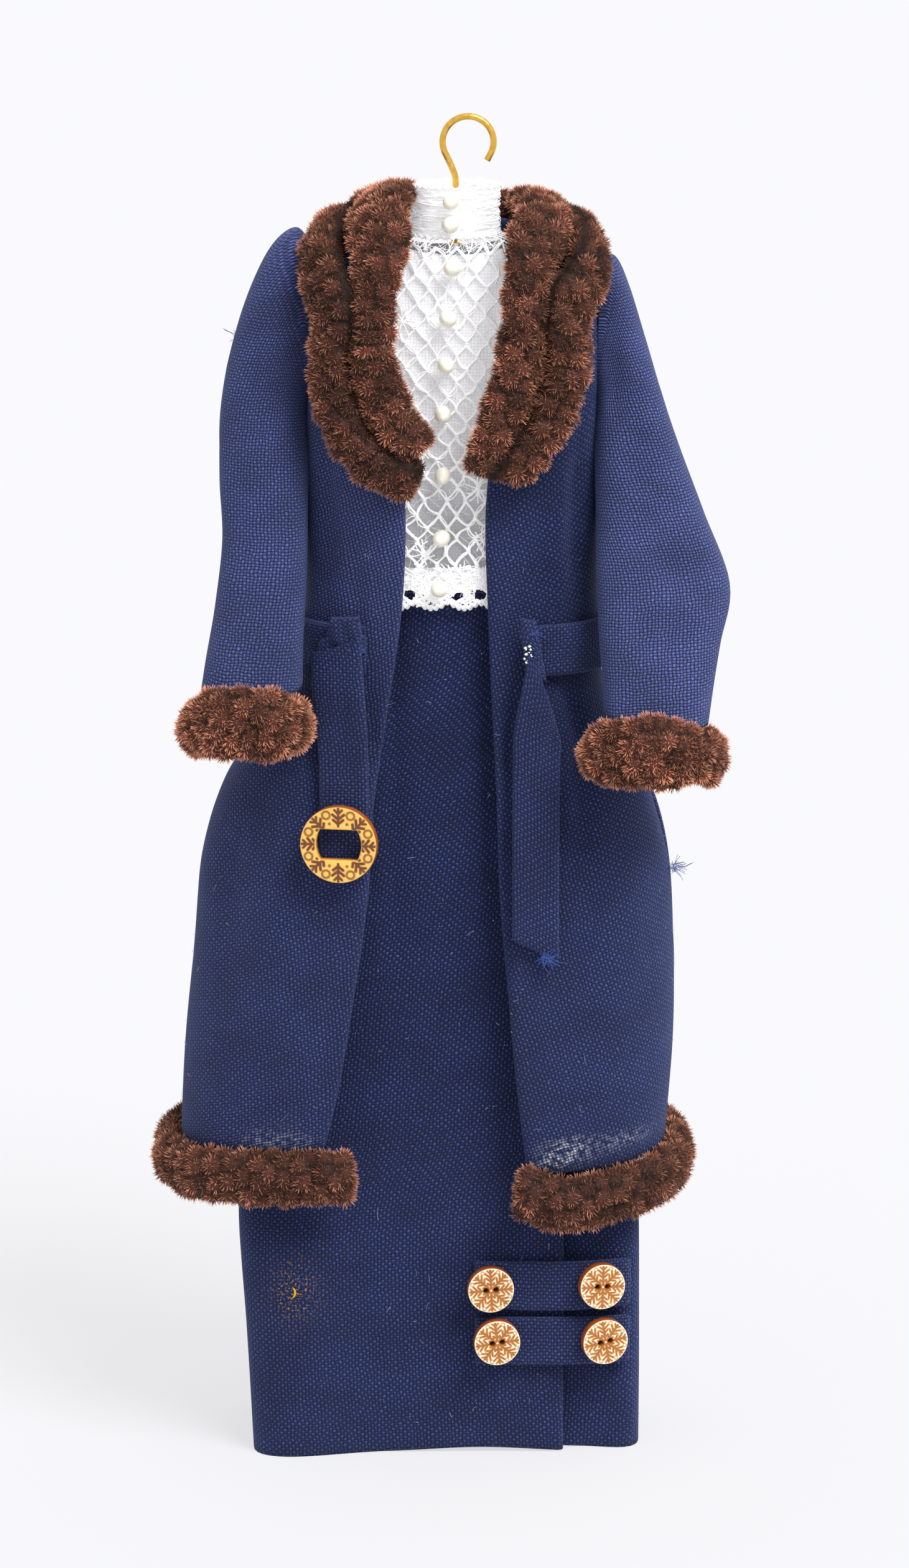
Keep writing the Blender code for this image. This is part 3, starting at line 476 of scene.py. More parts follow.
navyCotton = navyCottonMaterial(navyLook)
whiteVoile = sheerCottonMaterial(whiteLook)
laceThread = laceThreadMaterial()
blueFibre = plainMaterial("looseBlueCottonFibre", "#3c57a0", 0.9)
paleFibre = plainMaterial("paleDustFibre", "#a9b0c4", 0.9)
driedGlue = plainMaterial("driedWhiteGlue", "#e9e8e2", 0.35)
goldPaint = plainMaterial("goldPaintChip", "#d9a52c", 0.35, 0.6)
chenille = chenilleMaterial(pileLook)
buttonWood = engravedWoodMaterial("engravedBirchButton", "#f9e8c4", "#a8641a", "#2a1406", "#a8521a")
buckleWood = engravedWoodMaterial("engravedBirchBuckle", "#edb956", "#693203", "#2a1406", "#b85c16")
pearlCream = pearlMaterial()
brass = brassMaterial()

print("stage 2: skirt")
skirtForm = makeForm([
    (0.0, 18.5, 8.0, -0.8, 7.0), (12.0, 18.8, 8.0, -1.1, 7.0), (24.0, 19.1, 7.8, -1.5, 5.5),
    (32.0, 18.2, 7.2, -1.4, 4.2), (48.0, 17.0, 6.6, -1.3, 3.4), (64.0, 14.6, 5.8, -0.9, 3.0),
    (75.0, 11.8, 5.0, -0.6, 2.8), (83.0, 11.0, 4.7, -0.5, 2.7),
])
skirtLook = {
    "columns": 128, "rows": 84, "around": 112.0, "thick": 0.45, "freeEdgeX": 10.4, "underEdgeX": 5.5,
    "underInset": 1.4, "insetEnds": (0.13, 0.2), "cornerForward": 1.9, "cornerFrom": (6.0, 17.5),
    "cornerFades": (8.0, 36.0),
    "pleatX": (-5.6, 3.4), "pleatDepth": 0.45, "pleatWide": 0.9, "pleatFades": (40.0, 70.0), "hemLift": 0.5,
    "chipX": -15.2, "chipZ": 16.4,
}


def makeSkirt(look):
    v = np.linspace(0, 1, look["rows"])[:, None]
    u = panelShares(look["around"], look["columns"])[None, :]
    level = v * skirtForm["top"]
    start = turnAt(skirtForm, level, look["underEdgeX"])
    end = 1 + turnAt(skirtForm, level, look["freeEdgeX"])
    turn = start + u * (end - start)
    inset = look["underInset"] * (1 - ease(turn, *look["insetEnds"]))
    bare = bareSpot(skirtForm, level + 0 * turn, turn)
    x, z = bare[..., 0], bare[..., 2]
    back = bare[..., 1] > 0
    around = x + np.where(back, 60.0, 0.0)
    out = -inset + wobble(around, z, 3, 17.0, 0.1) + edgeDrop((1 - u) * look["around"], 0.7, 0.5)
    out = out + creaseOut(around, z, [
        (0.16, 2.6, (-13.0, 2.0), (-12.0, 14.0), (-12.5, 26.0)),
        (-0.13, 2.4, (-1.0, 4.0), (0.5, 20.0), (0.2, 34.0)),
        (-0.2, 1.8, (6.0, 22.0), (5.0, 34.0)),
        (-0.3, 2.2, (52.0, 3.0), (53.0, 30.0), (56.0, 60.0)),
        (-0.25, 1.8, (66.0, 8.0), (65.0, 40.0), (63.0, 72.0)),
        (0.2, 3.0, (60.0, 1.0), (60.5, 22.0)),
    ])
    spots = formSpot(skirtForm, level, turn, out)
    front = (spots[..., 1] < 0) & (turn > 0.5)
    low = 1 - ease(spots[..., 2], *look["cornerFades"])
    spots[..., 1] -= front * look["cornerForward"] * low * ease(-spots[..., 0], *look["cornerFrom"])
    for pleatX in look["pleatX"]:
        share = np.exp(-(((spots[..., 0] - pleatX) / look["pleatWide"]) ** 2))
        spots[..., 1] += front * look["pleatDepth"] * share * ease(spots[..., 2], *look["pleatFades"])
    lift = look["hemLift"] * np.exp(-(((spots[..., 0] - 2.5) / 7.0) ** 2)) * (spots[..., 1] < 0)
    spots[..., 2] = np.maximum(spots[..., 2], 0.0) + lift * (1 - ease(spots[..., 2], 0, 4))
    spots[0, :, 2] = lift[0]
    piece = gridPiece("skirtCloth", spots, clothUv(spots, 96, -1.5))
    px, pz = spots[..., 0], spots[..., 2]
    # painted shade: the whole skirt a little darker, and its front darker still above the coat's hem, where the
    # coat shades it
    paintPoints(piece, "paintedLightAndDust", -0.25 - 0.1 * ease(pz, 30, 36) * front)
    chip = ((px - look["chipX"]) / 1.9) ** 2 + ((pz - look["chipZ"]) / 2.4) ** 2
    paintPoints(piece, "paint", np.exp(-chip) * front)
    return thicken(piece, look["thick"])


finishNavy(makeSkirt(skirtLook), "skirt")

tabLook = {"startX": 1.9, "long": 14.4, "high": 4.7, "columns": 36, "rows": 12, "thick": 0.7}
for tabName, tabZ, droop in (("skirt_tab_upper", 14.6, 0.25), ("skirt_tab_lower", 9.1, 0.1)):
    across = panelShares(tabLook["long"], tabLook["columns"])[None, :]
    upward = panelShares(tabLook["high"], tabLook["rows"])[:, None]
    along, rise = across * tabLook["long"], upward * tabLook["high"]
    tabLevel = levelAt(skirtForm, tabZ + rise)
    tabTurn = turnAt(skirtForm, tabLevel + 0 * across, tabLook["startX"] + along + 0 * upward)
    tabOut = seamGap + wall + edgeDrop(np.minimum(across, 1 - across) * tabLook["long"], 0.6, 0.5)
    tabOut = tabOut + edgeDrop(np.minimum(upward, 1 - upward) * tabLook["high"], 0.6, 0.5)
    tabOut = tabOut + wobble(along, rise, len(tabName) + int(tabZ), 5.0, 0.1)
    tabSpots = formSpot(skirtForm, tabLevel, tabTurn, tabOut)
    tabSpots[..., 2] -= droop * np.sin(math.pi * across) ** 2 * (1 - upward)
    tab = gridPiece(tabName + "Cloth", tabSpots, clothUv(tabSpots, 0, 90.0))
    finishNavy(thicken(tab, tabLook["thick"]), tabName)

print("stage 3: coat")
coatForm = makeForm([
    (31.0, 23.1, 11.9, -3.0, 3.0), (40.0, 23.2, 11.3, -2.4, 2.9), (50.0, 22.7, 10.5, -1.9, 2.7),
    (58.0, 22.0, 9.8, -1.8, 2.6), (64.5, 20.0, 9.1, -1.7, 2.6), (70.0, 16.6, 8.5, -1.3, 2.7),
    (75.0, 14.4, 8.0, -0.7, 2.8), (79.0, 13.5, 7.7, -0.35, 2.9), (88.0, 13.2, 7.7, -0.3, 2.9),
    (97.0, 13.15, 7.8, -0.25, 3.2), (104.0, 13.0, 7.6, -0.1, 3.8), (109.0, 13.0, 7.3, 0.0, 3.8),
    (112.4, 12.5, 6.8, 0.0, 3.2), (114.4, 10.6, 6.2, 0.0, 2.7), (115.9, 8.0, 5.7, 0.0, 2.4),
    (117.0, 5.6, 5.0, 0.0, 2.2),
])
rightEdge = [(31.0, -12.3), (35.0, -11.3), (45.0, -9.5), (57.0, -7.9), (63.0, -7.6), (72.0, -6.3),
             (82.0, -4.9), (94.0, -4.7), (97.0, -5.0), (101.0, -6.6), (107.0, -7.8), (112.4, -7.9),
             (115.9, -6.6), (117.0, -5.4)]
leftEdge = [(31.0, 6.9), (39.0, 5.8), (46.4, 5.1), (57.0, 4.2), (63.0, 4.0), (75.0, 3.4), (82.0, 3.1),
            (93.0, 3.0), (97.0, 3.5), (102.0, 5.3), (107.0, 6.5), (112.4, 7.2), (115.9, 6.4), (117.0, 5.3)]
coatLook = {
    "thick": 0.5, "rows": 124, "frontColumns": 36, "backColumns": 72, "sideDip": 1.0, "hemFades": 6,
    "frontWide": 16.0, "backWide": 48.0, "leftDrop": 2.2, "armholeZ": 107.2, "armholeHalfHeight": 6.1,
    "armholeHalfDepth": 3.9,
}


def armholeTurn(level, sideTurn):  # how far round from the side line the armhole cuts a panel
    found = np.empty(level.shape)
    turns = np.linspace(0, 0.22, 60)
    for spot in np.ndindex(level.shape):
        z = float(np.interp(level[spot], coatForm["levels"], coatForm["z"]))
        seam = 0.0002
        reach = 1 - ((z - coatLook["armholeZ"]) / coatLook["armholeHalfHeight"]) ** 2
        found[spot] = seam
        if reach > 0:
            depths = np.abs(bareSpot(coatForm, np.full(60, level[spot]), sideTurn - turns)[:, 1])
            found[spot] = max(seam, np.interp(coatLook["armholeHalfDepth"] * math.sqrt(reach), depths, turns))
    return found


def sideBulge(x, z):  # the body swells a little to meet the sleeves
    return 0.5 * ease(np.abs(x + 0.25), 11.5, 13.0) * ease(z, 74, 79) * (1 - ease(z, 107, 113))


def hemDip(turn):
    return coatLook["sideDip"] * np.sin(2 * math.pi * turn) ** 2


def makeCoatFront(name, edges, side, drop, creases, grain):
    v = np.linspace(0, 1, coatLook["rows"])[:, None]
    span = coatLook["frontWide"]
    share = panelShares(span, coatLook["frontColumns"])[None, :]
    level = v * coatForm["top"]
    z = np.interp(level, coatForm["levels"], coatForm["z"])
    edge = turnAt(coatForm, level, smoothMix(*np.array(edges).T, z))
    seam = side * (0.25 - armholeTurn(level, side * 0.25))
    if side < 0:
        share = 1 - share[:, ::-1]
    turn = edge + share * (seam - edge)
    bare = bareSpot(coatForm, level + 0 * turn, turn)
    x = bare[..., 0]
    out = edgeDrop(share * span, 0.7, 0.55) + edgeDrop((1 - share) * span, 0.6, 0.35)
    out = out + wobble(x, bare[..., 2], 11 + side, 14.0, 0.12) + creaseOut(x, bare[..., 2], creases)
    out = out + sideBulge(x, bare[..., 2])
    spots = formSpot(coatForm, level, turn, out)
    spots[..., 2] -= (drop * (1 - share) + hemDip(turn)) * (1 - v) ** coatLook["hemFades"]
    if side < 0:
        spots = spots[:, ::-1]
    piece = gridPiece(name, spots, clothUv(spots, 0 if side > 0 else spots.shape[1] - 1, grain))
    return piece, spots


rightCreases = [
    (-0.3, 0.7, (-8.2, 76.0), (-7.2, 66.0), (-7.5, 52.0)),
    (0.35, 2.4, (-14.0, 72.0), (-16.0, 55.0), (-17.0, 40.0)),
    (0.3, 2.0, (-10.5, 55.0), (-13.0, 45.0), (-15.0, 36.0)),
    (-0.3, 1.6, (-20.5, 62.0), (-21.5, 45.0)),
    (-0.3, 0.9, (-9.6, 92.0), (-9.0, 80.0)),
    (-0.35, 0.8, (-12.0, 99.0), (-11.2, 84.0)),
]
leftCreases = [
    (-0.55, 0.55, (6.2, 78.5), (4.9, 70.0), (4.6, 50.0), (5.1, 36.0)),
    (-0.5, 0.8, (9.6, 77.0), (11.8, 70.0), (12.2, 58.0)),
    (0.5, 1.1, (8.0, 76.0), (7.6, 66.0)),
    (0.35, 2.4, (14.0, 70.0), (15.2, 52.0), (15.6, 38.0)),
    (-0.25, 1.8, (19.0, 66.0), (19.6, 48.0)),
    (-0.5, 0.9, (11.5, 97.0), (11.0, 84.0)),
    (-0.22, 1.2, (8.4, 94.0), (7.6, 82.0)),
]
coatRight, rightSpots = makeCoatFront("coatFrontRightCloth", rightEdge, -1, 0.0, rightCreases, -13.0)
coatLeft, leftSpots = makeCoatFront("coatFrontLeftCloth", leftEdge, 1, coatLook["leftDrop"], leftCreases, -11.0)
rightX, rightZ, leftX, leftZ = rightSpots[..., 0], rightSpots[..., 2], leftSpots[..., 0], leftSpots[..., 2]
glueRise = leftZ - 30.4 - 0.12 * (leftX - 9.0)
paintPoints(coatRight, "glue", 0.4 * np.exp(-((rightX + 16.5) / 3.2) ** 4 - ((rightZ - 31.6) / 0.9) ** 2))
paintPoints(coatLeft, "glue", 1.1 * np.exp(-((leftX - 10.2) / 2.2) ** 4 - (glueRise / 0.8) ** 2)
            + 0.5 * np.exp(-((leftX - 13.8) / 4.6) ** 4 - (glueRise / 0.55) ** 2))
# painted light: the upper part of this front, the viewer's left chest, paler as if lit
paintPoints(coatRight, "paintedLightAndDust", 1.3 * ease(rightZ, 72, 92))
# painted shade: this front a touch darker all over, its upper chest near the sleeve darker, and a painted shadow
# line along the crease beside its front edge from about z 47 to 75
paintPoints(coatLeft, "paintedLightAndDust", -0.05 - 0.4 * ease(leftZ, 70, 84) * ease(leftX, 4, 9)
            - 0.5 * np.exp(-((leftX - 5.0) / 0.5) ** 2) * ease(leftZ, 44, 50) * (1 - ease(leftZ, 72, 77)))
finishNavy(thicken(coatRight, coatLook["thick"]), "coat_front_right")
finishNavy(thicken(coatLeft, coatLook["thick"]), "coat_front_left")


def makeCoatBack():
    v = np.linspace(0, 1, coatLook["rows"])[:, None]
    u = panelShares(coatLook["backWide"], coatLook["backColumns"])[None, :]
    level = v * coatForm["top"]
    cut = armholeTurn(level, 0.25)
    turn = 0.25 + cut + u * (0.5 - 2 * cut)
    bare = bareSpot(coatForm, level + 0 * turn, turn)
    x, z = bare[..., 0], bare[..., 2]
    out = edgeDrop(np.minimum(u, 1 - u) * coatLook["backWide"], 0.6, 0.35)
    out = out + wobble(x, z, 23, 15.0, 0.12) + creaseOut(x, z, [
        (-1.1, 1.0, (-0.4, 74.0), (-0.8, 55.0), (-0.6, 33.0)),
        (0.7, 1.9, (-4.0, 72.0), (-6.0, 52.0), (-7.5, 36.0)),
        (0.6, 2.1, (4.2, 72.0), (6.8, 50.0), (8.2, 35.0)),
        (-0.7, 1.3, (-10.5, 70.0), (-13.5, 50.0)),
        (-0.8, 1.2, (11.0, 69.0), (13.0, 48.0), (13.5, 38.0)),
        (-0.5, 1.1, (-7.0, 96.0), (-5.0, 84.0)),
        (-0.6, 1.0, (7.6, 98.0), (6.0, 83.0)),
    ])
    out = out + sideBulge(x, z)
    spots = formSpot(coatForm, level, turn, out)
    spots[..., 2] -= hemDip(turn) * (1 - v) ** coatLook["hemFades"]
    return thicken(gridPiece("coatBackCloth", spots, clothUv(spots, spots.shape[1] // 2)), coatLook["thick"])


finishNavy(makeCoatBack(), "coat_back")

print("stage 4: sleeves")
rightRings = [
    (-13.4, 115.3, -13.2, 101.8, 0.0, 4.2), (-14.8, 116.5, -13.4, 101.0, -0.2, 4.3),
    (-16.9, 114.9, -13.5, 100.2, -0.5, 4.3), (-18.9, 111.0, -13.6, 99.2, -1.0, 4.2),
    (-20.6, 105.8, -13.6, 97.8, -1.7, 4.1), (-21.7, 100.0, -13.6, 95.6, -2.7, 4.1),
    (-21.8, 94.0, -13.6, 91.8, -4.0, 4.1), (-21.5, 88.4, -13.6, 87.4, -5.6, 4.1),
    (-22.1, 82.8, -13.8, 82.4, -7.6, 4.1), (-22.9, 78.0, -14.0, 78.3, -9.4, 4.1),
    (-23.4, 74.9, -14.0, 75.6, -10.6, 4.1),
]
leftRings = [
    (13.4, 113.6, 13.0, 101.6, 0.0, 4.2), (14.9, 113.8, 13.0, 100.9, -0.2, 4.3),
    (16.3, 110.9, 13.0, 100.1, -0.5, 4.3), (17.7, 106.4, 13.0, 99.0, -1.1, 4.2),
    (19.2, 101.4, 13.0, 97.4, -1.9, 4.1), (21.0, 96.2, 13.0, 94.6, -3.0, 4.1),
    (23.2, 90.4, 13.1, 90.4, -4.6, 4.1), (25.5, 84.3, 13.1, 85.4, -6.6, 4.1),
    (24.6, 79.3, 13.3, 79.6, -8.6, 4.1), (23.9, 75.4, 13.7, 75.8, -10.0, 4.1),
    (23.4, 72.2, 13.8, 73.15, -11.0, 4.1),
]
sleeveLook = {"columns": 66, "rows": 74, "thick": 0.45, "square": 3.0}


def makeSleeve(name, rings, creases, grain, paintedLightAndDust):
    at = (len(rings) - 1) * (1 - np.linspace(0, 1, sleeveLook["rows"]))[:, None]
    outerX, outerZ, innerX, innerZ, middleY, halfDepth = (
        smoothMix(np.arange(len(rings)), c, at) for c in np.array(rings).T
    )
    side = math.copysign(1.0, rings[-1][0])
    angle = side * 2 * math.pi * np.arange(sleeveLook["columns"])[None, :] / sleeveLook["columns"]
    cosine, sine = (np.sign(f) * np.abs(f) ** (2 / sleeveLook["square"]) for f in (np.cos(angle), np.sin(angle)))
    x = (outerX + innerX) / 2 + (outerX - innerX) / 2 * cosine
    z = (outerZ + innerZ) / 2 + (outerZ - innerZ) / 2 * cosine
    facing = np.where(np.sin(angle) * side < 0, 0.0, 40.0)  # the back has creases of its own, 40 further on
    push = wobble(x + facing, z, 31, 9.0, 0.12) + creaseOut(x + facing + 0 * z, z, creases)
    y = middleY + halfDepth * sine + push * np.sign(sine) * ease(np.abs(sine), 0.3, 0.9)
    spots = np.stack([x + 0 * y, y, z + 0 * y], axis=-1)
    spots[..., 0] += push * np.sign(cosine) * ease(np.abs(cosine), 0.6, 1.0) * side * 0.6
    uv = clothUv(spots, round(sleeveLook["columns"] * (0.5 + 0.25 * side)), 0.0, True)
    uv[..., 1] = np.concatenate([spots[..., 2], spots[:, :1, 2]], axis=1) * 1.04  # level threads all round
    c, s = math.cos(math.radians(grain)), math.sin(math.radians(grain))
    uv = np.stack([uv[..., 0] * c - uv[..., 1] * s, uv[..., 0] * s + uv[..., 1] * c], axis=-1)
    piece = gridPiece(name, spots, uv, True)
    # paler all over, set per sleeve: mostly painted light, partly dust
    paintPoints(piece, "paintedLightAndDust", np.full(spots.shape[:2], paintedLightAndDust))
    return thicken(piece, sleeveLook["thick"])


finishNavy(makeSleeve("sleeveRightCloth", rightRings, [
    (-0.3, 1.2, (-21.5, 92.0), (-18.0, 90.0), (-14.5, 91.5)),
    (-0.3, 0.8, (-15.4, 108.0), (-15.0, 96.0), (-15.2, 84.0)),
    (0.25, 1.8, (-19.5, 106.0), (-19.8, 96.0)),
    (-0.3, 1.4, (19.5, 104.0), (20.0, 92.0), (21.0, 80.0)),
], 2.0, 1.0), "sleeve_right")
finishNavy(makeSleeve("sleeveLeftCloth", leftRings, [
    (-0.5, 0.9, (25.2, 86.5), (21.0, 86.0), (17.5, 88.5)),
    (0.3, 1.4, (24.5, 82.0), (20.5, 83.2), (17.0, 82.0)),
    (-0.3, 0.8, (14.6, 108.0), (14.8, 98.0)),
    (0.25, 1.6, (17.5, 103.0), (19.0, 95.0)),
    (-0.4, 1.1, (62.0, 92.0), (58.5, 88.0), (55.0, 90.0)),
], -4.0, 1.8), "sleeve_left")

print("stage 5: belt")
beltLook = {"lowZ": 75.7, "high": 4.9, "rightEndX": -8.0, "leftEndX": 7.2, "around": 66.0,
            "columns": 150, "rows": 12, "thick": 0.6}
beltUp = panelShares(beltLook["high"], beltLook["rows"])[:, None]
beltAcross = panelShares(beltLook["around"], beltLook["columns"])[None, :]
beltLevel = levelAt(coatForm, beltLook["lowZ"] + beltUp * beltLook["high"])
beltStart = turnAt(coatForm, beltLevel, beltLook["leftEndX"])
beltEnd = 1 + turnAt(coatForm, beltLevel, beltLook["rightEndX"])
beltTurn = beltStart + beltAcross * (beltEnd - beltStart)
beltOut = layerGap + wall + edgeDrop(np.minimum(beltUp, 1 - beltUp) * beltLook["high"], 0.6, 0.5)
beltOut = beltOut + wobble(beltAcross * 66, beltUp * 5, 41, 7.0, 0.1)
beltSpots = formSpot(coatForm, beltLevel, beltTurn, beltOut)
finishNavy(thicken(gridPiece("beltCloth", beltSpots, clothUv(beltSpots, 0)), beltLook["thick"]), "belt")

strapLook = {"liftTop": wall + 2 * layerGap, "liftLow": layerGap, "liftEnds": (67.0, 75.0),
             "long": 24.0, "wide": 4.4, "columns": 16, "rows": 70, "thick": 0.6}


def makeStrap(name, corners, narrowsOver, creases):  # outer and inner heights and sides of its four corners
    topOuterZ, topInnerZ, bottomOuterZ, bottomInnerZ, outerX, innerX, topOuterX, topInnerX = corners
    v = panelShares(strapLook["long"], strapLook["rows"])[:, None]
    share = panelShares(strapLook["wide"], strapLook["columns"])[None, :]
    if outerX < 0:
        share = 1 - share
    top = topInnerZ + share * (topOuterZ - topInnerZ)
    bottom = bottomInnerZ + share * (bottomOuterZ - bottomInnerZ)
    z = bottom + v * (top - bottom)
    narrow = ease(z, top - narrowsOver, top)
    outer = outerX + narrow * (topOuterX - outerX)
    inner = innerX + narrow * (topInnerX - innerX)
    x = inner + share * (outer - inner)
    lift = strapLook["liftLow"] + (strapLook["liftTop"] - strapLook["liftLow"]) * ease(z, *strapLook["liftEnds"])
    out = lift + wall + edgeDrop(np.minimum(share, 1 - share) * strapLook["wide"], 0.6, 0.5)
    out = out + creaseOut(x, z, creases)
    out = out + edgeDrop(v * strapLook["long"], 0.6, 0.4) + wobble(x, z, int(abs(outerX)), 6.0, 0.12)
    spots = spotAt(coatForm, x, z, out)
    return thicken(gridPiece(name, spots, clothUv(spots, 0)), strapLook["thick"])


buckledStrap = makeStrap("beltEndBuckledCloth", (77.6, 79.6, 57.6, 57.6, -12.4, -7.9, -11.9, -8.1), 6.0, [
    (-0.18, 0.7, (-9.4, 78.0), (-9.9, 70.0), (-9.6, 64.0)),
])
freeStrap = makeStrap("beltEndFreeCloth", (77.0, 78.4, 49.2, 51.2, 9.6, 5.3, 7.3, 6.3), 8.5, [
    (0.35, 0.9, (7.4, 78.0), (7.6, 72.0), (7.2, 66.0)),
    (-0.3, 0.5, (8.6, 76.0), (9.2, 70.0)),
])


def makeFold(name, corners, out, bulge):  # a small folded bit of cloth: four (x, z) corners, up the sides
    lowLeft, lowRight, highLeft, highRight = (np.array(c, float) for c in corners)
    u, v = np.linspace(0, 1, 26)[None, :, None], np.linspace(0, 1, 30)[:, None, None]
    flat = (lowLeft * (1 - u) + lowRight * u) * (1 - v) + (highLeft * (1 - u) + highRight * u) * v
    domed = (4 * u * (1 - u))[..., 0] ** 0.4 * (4 * v * (1 - v))[..., 0] ** 0.3
    ridge = 0.12 * np.sin(flat[..., 0] * 4.2 + flat[..., 1] * 1.1)
    spots = spotAt(coatForm, flat[..., 0], flat[..., 1], out + (bulge + ridge) * domed)
    return thicken(gridPiece(name, spots, clothUv(spots, 0, 24.0)), 0.45)


for foldName, foldCorners, foldOut, foldBulge, foldNode in (
    ("buckledEndFold", [(-11.3, 78.4), (-7.9, 78.2), (-10.6, 81.3), (-8.3, 81.6)], 1.75, 0.75, "belt_end_buckled"),
    ("buckledEndTurn", [(-12.0, 76.9), (-8.0, 78.1), (-11.4, 79.2), (-7.8, 79.9)], 1.8, 0.5, "belt_end_buckled"),
    ("freeEndFold", [(6.4, 75.6), (8.1, 75.2), (5.7, 81.6), (7.2, 81.2)], 1.75, 0.7, "belt_end_free"),
):
    finishNavy(makeFold(foldName, foldCorners, foldOut, foldBulge), foldNode)
finishNavy(buckledStrap, "belt_end_buckled")
finishNavy(freeStrap, "belt_end_free")

print("stage 6: blouse")
blouseForm = makeForm([
    (83.3, 11.0, 4.7, -0.5, 2.7), (90.0, 10.9, 4.8, -0.4, 2.7), (98.0, 11.0, 4.8, -0.3, 2.7),
    (105.0, 11.1, 4.7, -0.1, 2.7), (109.0, 10.9, 4.4, 0.0, 2.6), (110.8, 10.1, 4.2, 0.0, 2.5),
    (112.4, 8.5, 4.0, 0.0, 2.4), (113.7, 6.5, 3.8, 0.0, 2.3), (114.7, 4.9, 3.6, 0.0, 2.2),
    (115.5, 4.2, 3.5, 0.0, 2.1),
])
bandForm = makeForm([(115.9, 4.2, 3.5, 0.0, 2.1), (118.2, 4.0, 3.4, 0.05, 2.1), (120.6, 3.95, 3.4, 0.2, 2.1)])
for halfName, middleTurn in (("blouse_front", 0.0), ("blouse_back", 0.5)):
    halfLevel = np.linspace(0, 1, 70)[:, None] * blouseForm["top"]
    halfGirth = np.interp(halfLevel, blouseForm["levels"], blouseForm["around"])
    halfSpan = 0.5 - seamGap / halfGirth
    halfTurn = middleTurn + (np.linspace(0, 1, 60)[None, :] - 0.5) * halfSpan
    halfSpots = formSpot(blouseForm, halfLevel, halfTurn)
    half = gridPiece(halfName + "Cloth", halfSpots, clothUv(halfSpots, 30))
    # painted shade: the front half dark at its top, under the neckband's open row, where the hollow inside is in
    # shade
    paintPoints(half, "paintedShade", 0.9 * ease(halfSpots[..., 2], 114.1, 114.5) * (halfName == "blouse_front"))
    finishPiece(thicken(half, 0.3), whiteVoile, "white_lining", halfName)

laceRight = [(82.0, -6.6), (100.0, -6.6), (108.0, -6.2), (112.5, -5.2), (115.3, -3.6)]
laceLeft = [(82.0, 5.2), (100.0, 5.0), (108.0, 5.4), (112.5, 4.9), (115.3, 3.5)]
laceLook = {
    "backingOut": 0.95, "netOut": 1.2, "backingLow": 85.6, "cellWide": 1.8, "cellHigh": 1.22,
    "thread": 0.11, "knot": 0.09, "high": 115.6, "fuzz": 420,
}


def laceEdges(z):
    return smoothMix(*np.array(laceRight).T, z), smoothMix(*np.array(laceLeft).T, z)


def laceSpot(x, z, out):
    spot = spotAt(blouseForm, x, z, out)
    spot[..., 2] = np.where(np.asarray(z) < 84.0, z, spot[..., 2])
    return spot


backingZ = np.linspace(laceLook["backingLow"], 114.4, 60)[:, None]
backingRight, backingLeft = laceEdges(backingZ)
backingX = backingRight + (backingLeft - backingRight) * np.linspace(0, 1, 26)[None, :]
backingSpots = laceSpot(backingX, backingZ + 0 * backingX, laceLook["backingOut"])
backing = gridPiece("laceBackingCloth", backingSpots, clothUv(backingSpots, 13))
# painted shade: the backing a little grey everywhere and greyer lower down, between the coat fronts
paintPoints(backing, "paintedShade", 0.22 + 0.48 * (1 - ease(backingSpots[..., 2], 86, 106)))
finishPiece(thicken(backing, 0.2), whiteVoile, "white_lace", "lace_front")


def newTree(name, **kinds):  # a geometry tree with these inputs, its input node and their names on a modifier
    tree = bpy.data.node_groups.new(name, "GeometryNodeTree")
    tree.interface.new_socket("Geometry", in_out="INPUT", socket_type="NodeSocketGeometry")
    names = {label: tree.interface.new_socket(label, in_out="INPUT", socket_type="NodeSocket" + kind).identifier
             for label, kind in kinds.items()}
    tree.interface.new_socket("Geometry", in_out="OUTPUT", socket_type="NodeSocketGeometry")
    return tree, tree.nodes.new("NodeGroupInput"), names


def closeTree(tree, geometry, given):  # every tree ends in plain mesh with its material on
    whole = addNode(tree, "GeometryNodeRealizeInstances", {"Geometry": geometry})
    skinned = addNode(tree, "GeometryNodeSetMaterial", {"Geometry": whole, "Material": given.outputs["Material"]})
    addNode(tree, "NodeGroupOutput", {"Geometry": skinned})


def runTree(piece, made, values):
    tree, names = made
    modifier = piece.modifiers.new(tree.name, "NODES")
    modifier.node_group = tree
    for label, value in values.items():
        modifier[names[label]] = value
    return bakeModifiers(piece)


def threadTree():  # each chain of edges becomes a round thread, as thick as its points say
    tree, given, names = newTree("threadsFromEdges", Sides="Int", Material="Material")
    lines = addNode(tree, "GeometryNodeMeshToCurve", {"Mesh": given.outputs["Geometry"]})
    size = addNode(tree, "GeometryNodeInputNamedAttribute", {"Name": "threadRadius"}, data_type="FLOAT")
    sized = addNode(tree, "GeometryNodeSetCurveRadius", {"Curve": lines, "Radius": size})
    ring = addNode(tree, "GeometryNodeCurvePrimitiveCircle",
                   {"Resolution": given.outputs["Sides"], "Radius": 1.0}, mode="RADIUS")
    radius = addNode(tree, "GeometryNodeInputRadius")
    tube = addNode(tree, "GeometryNodeCurveToMesh",
                   {"Curve": sized, "Profile Curve": ring, "Scale": radius, "Fill Caps": True})
    closeTree(tree, addNode(tree, "GeometryNodeSetShadeSmooth", {"Geometry": tube}), given)
    return tree, names


threads = threadTree()


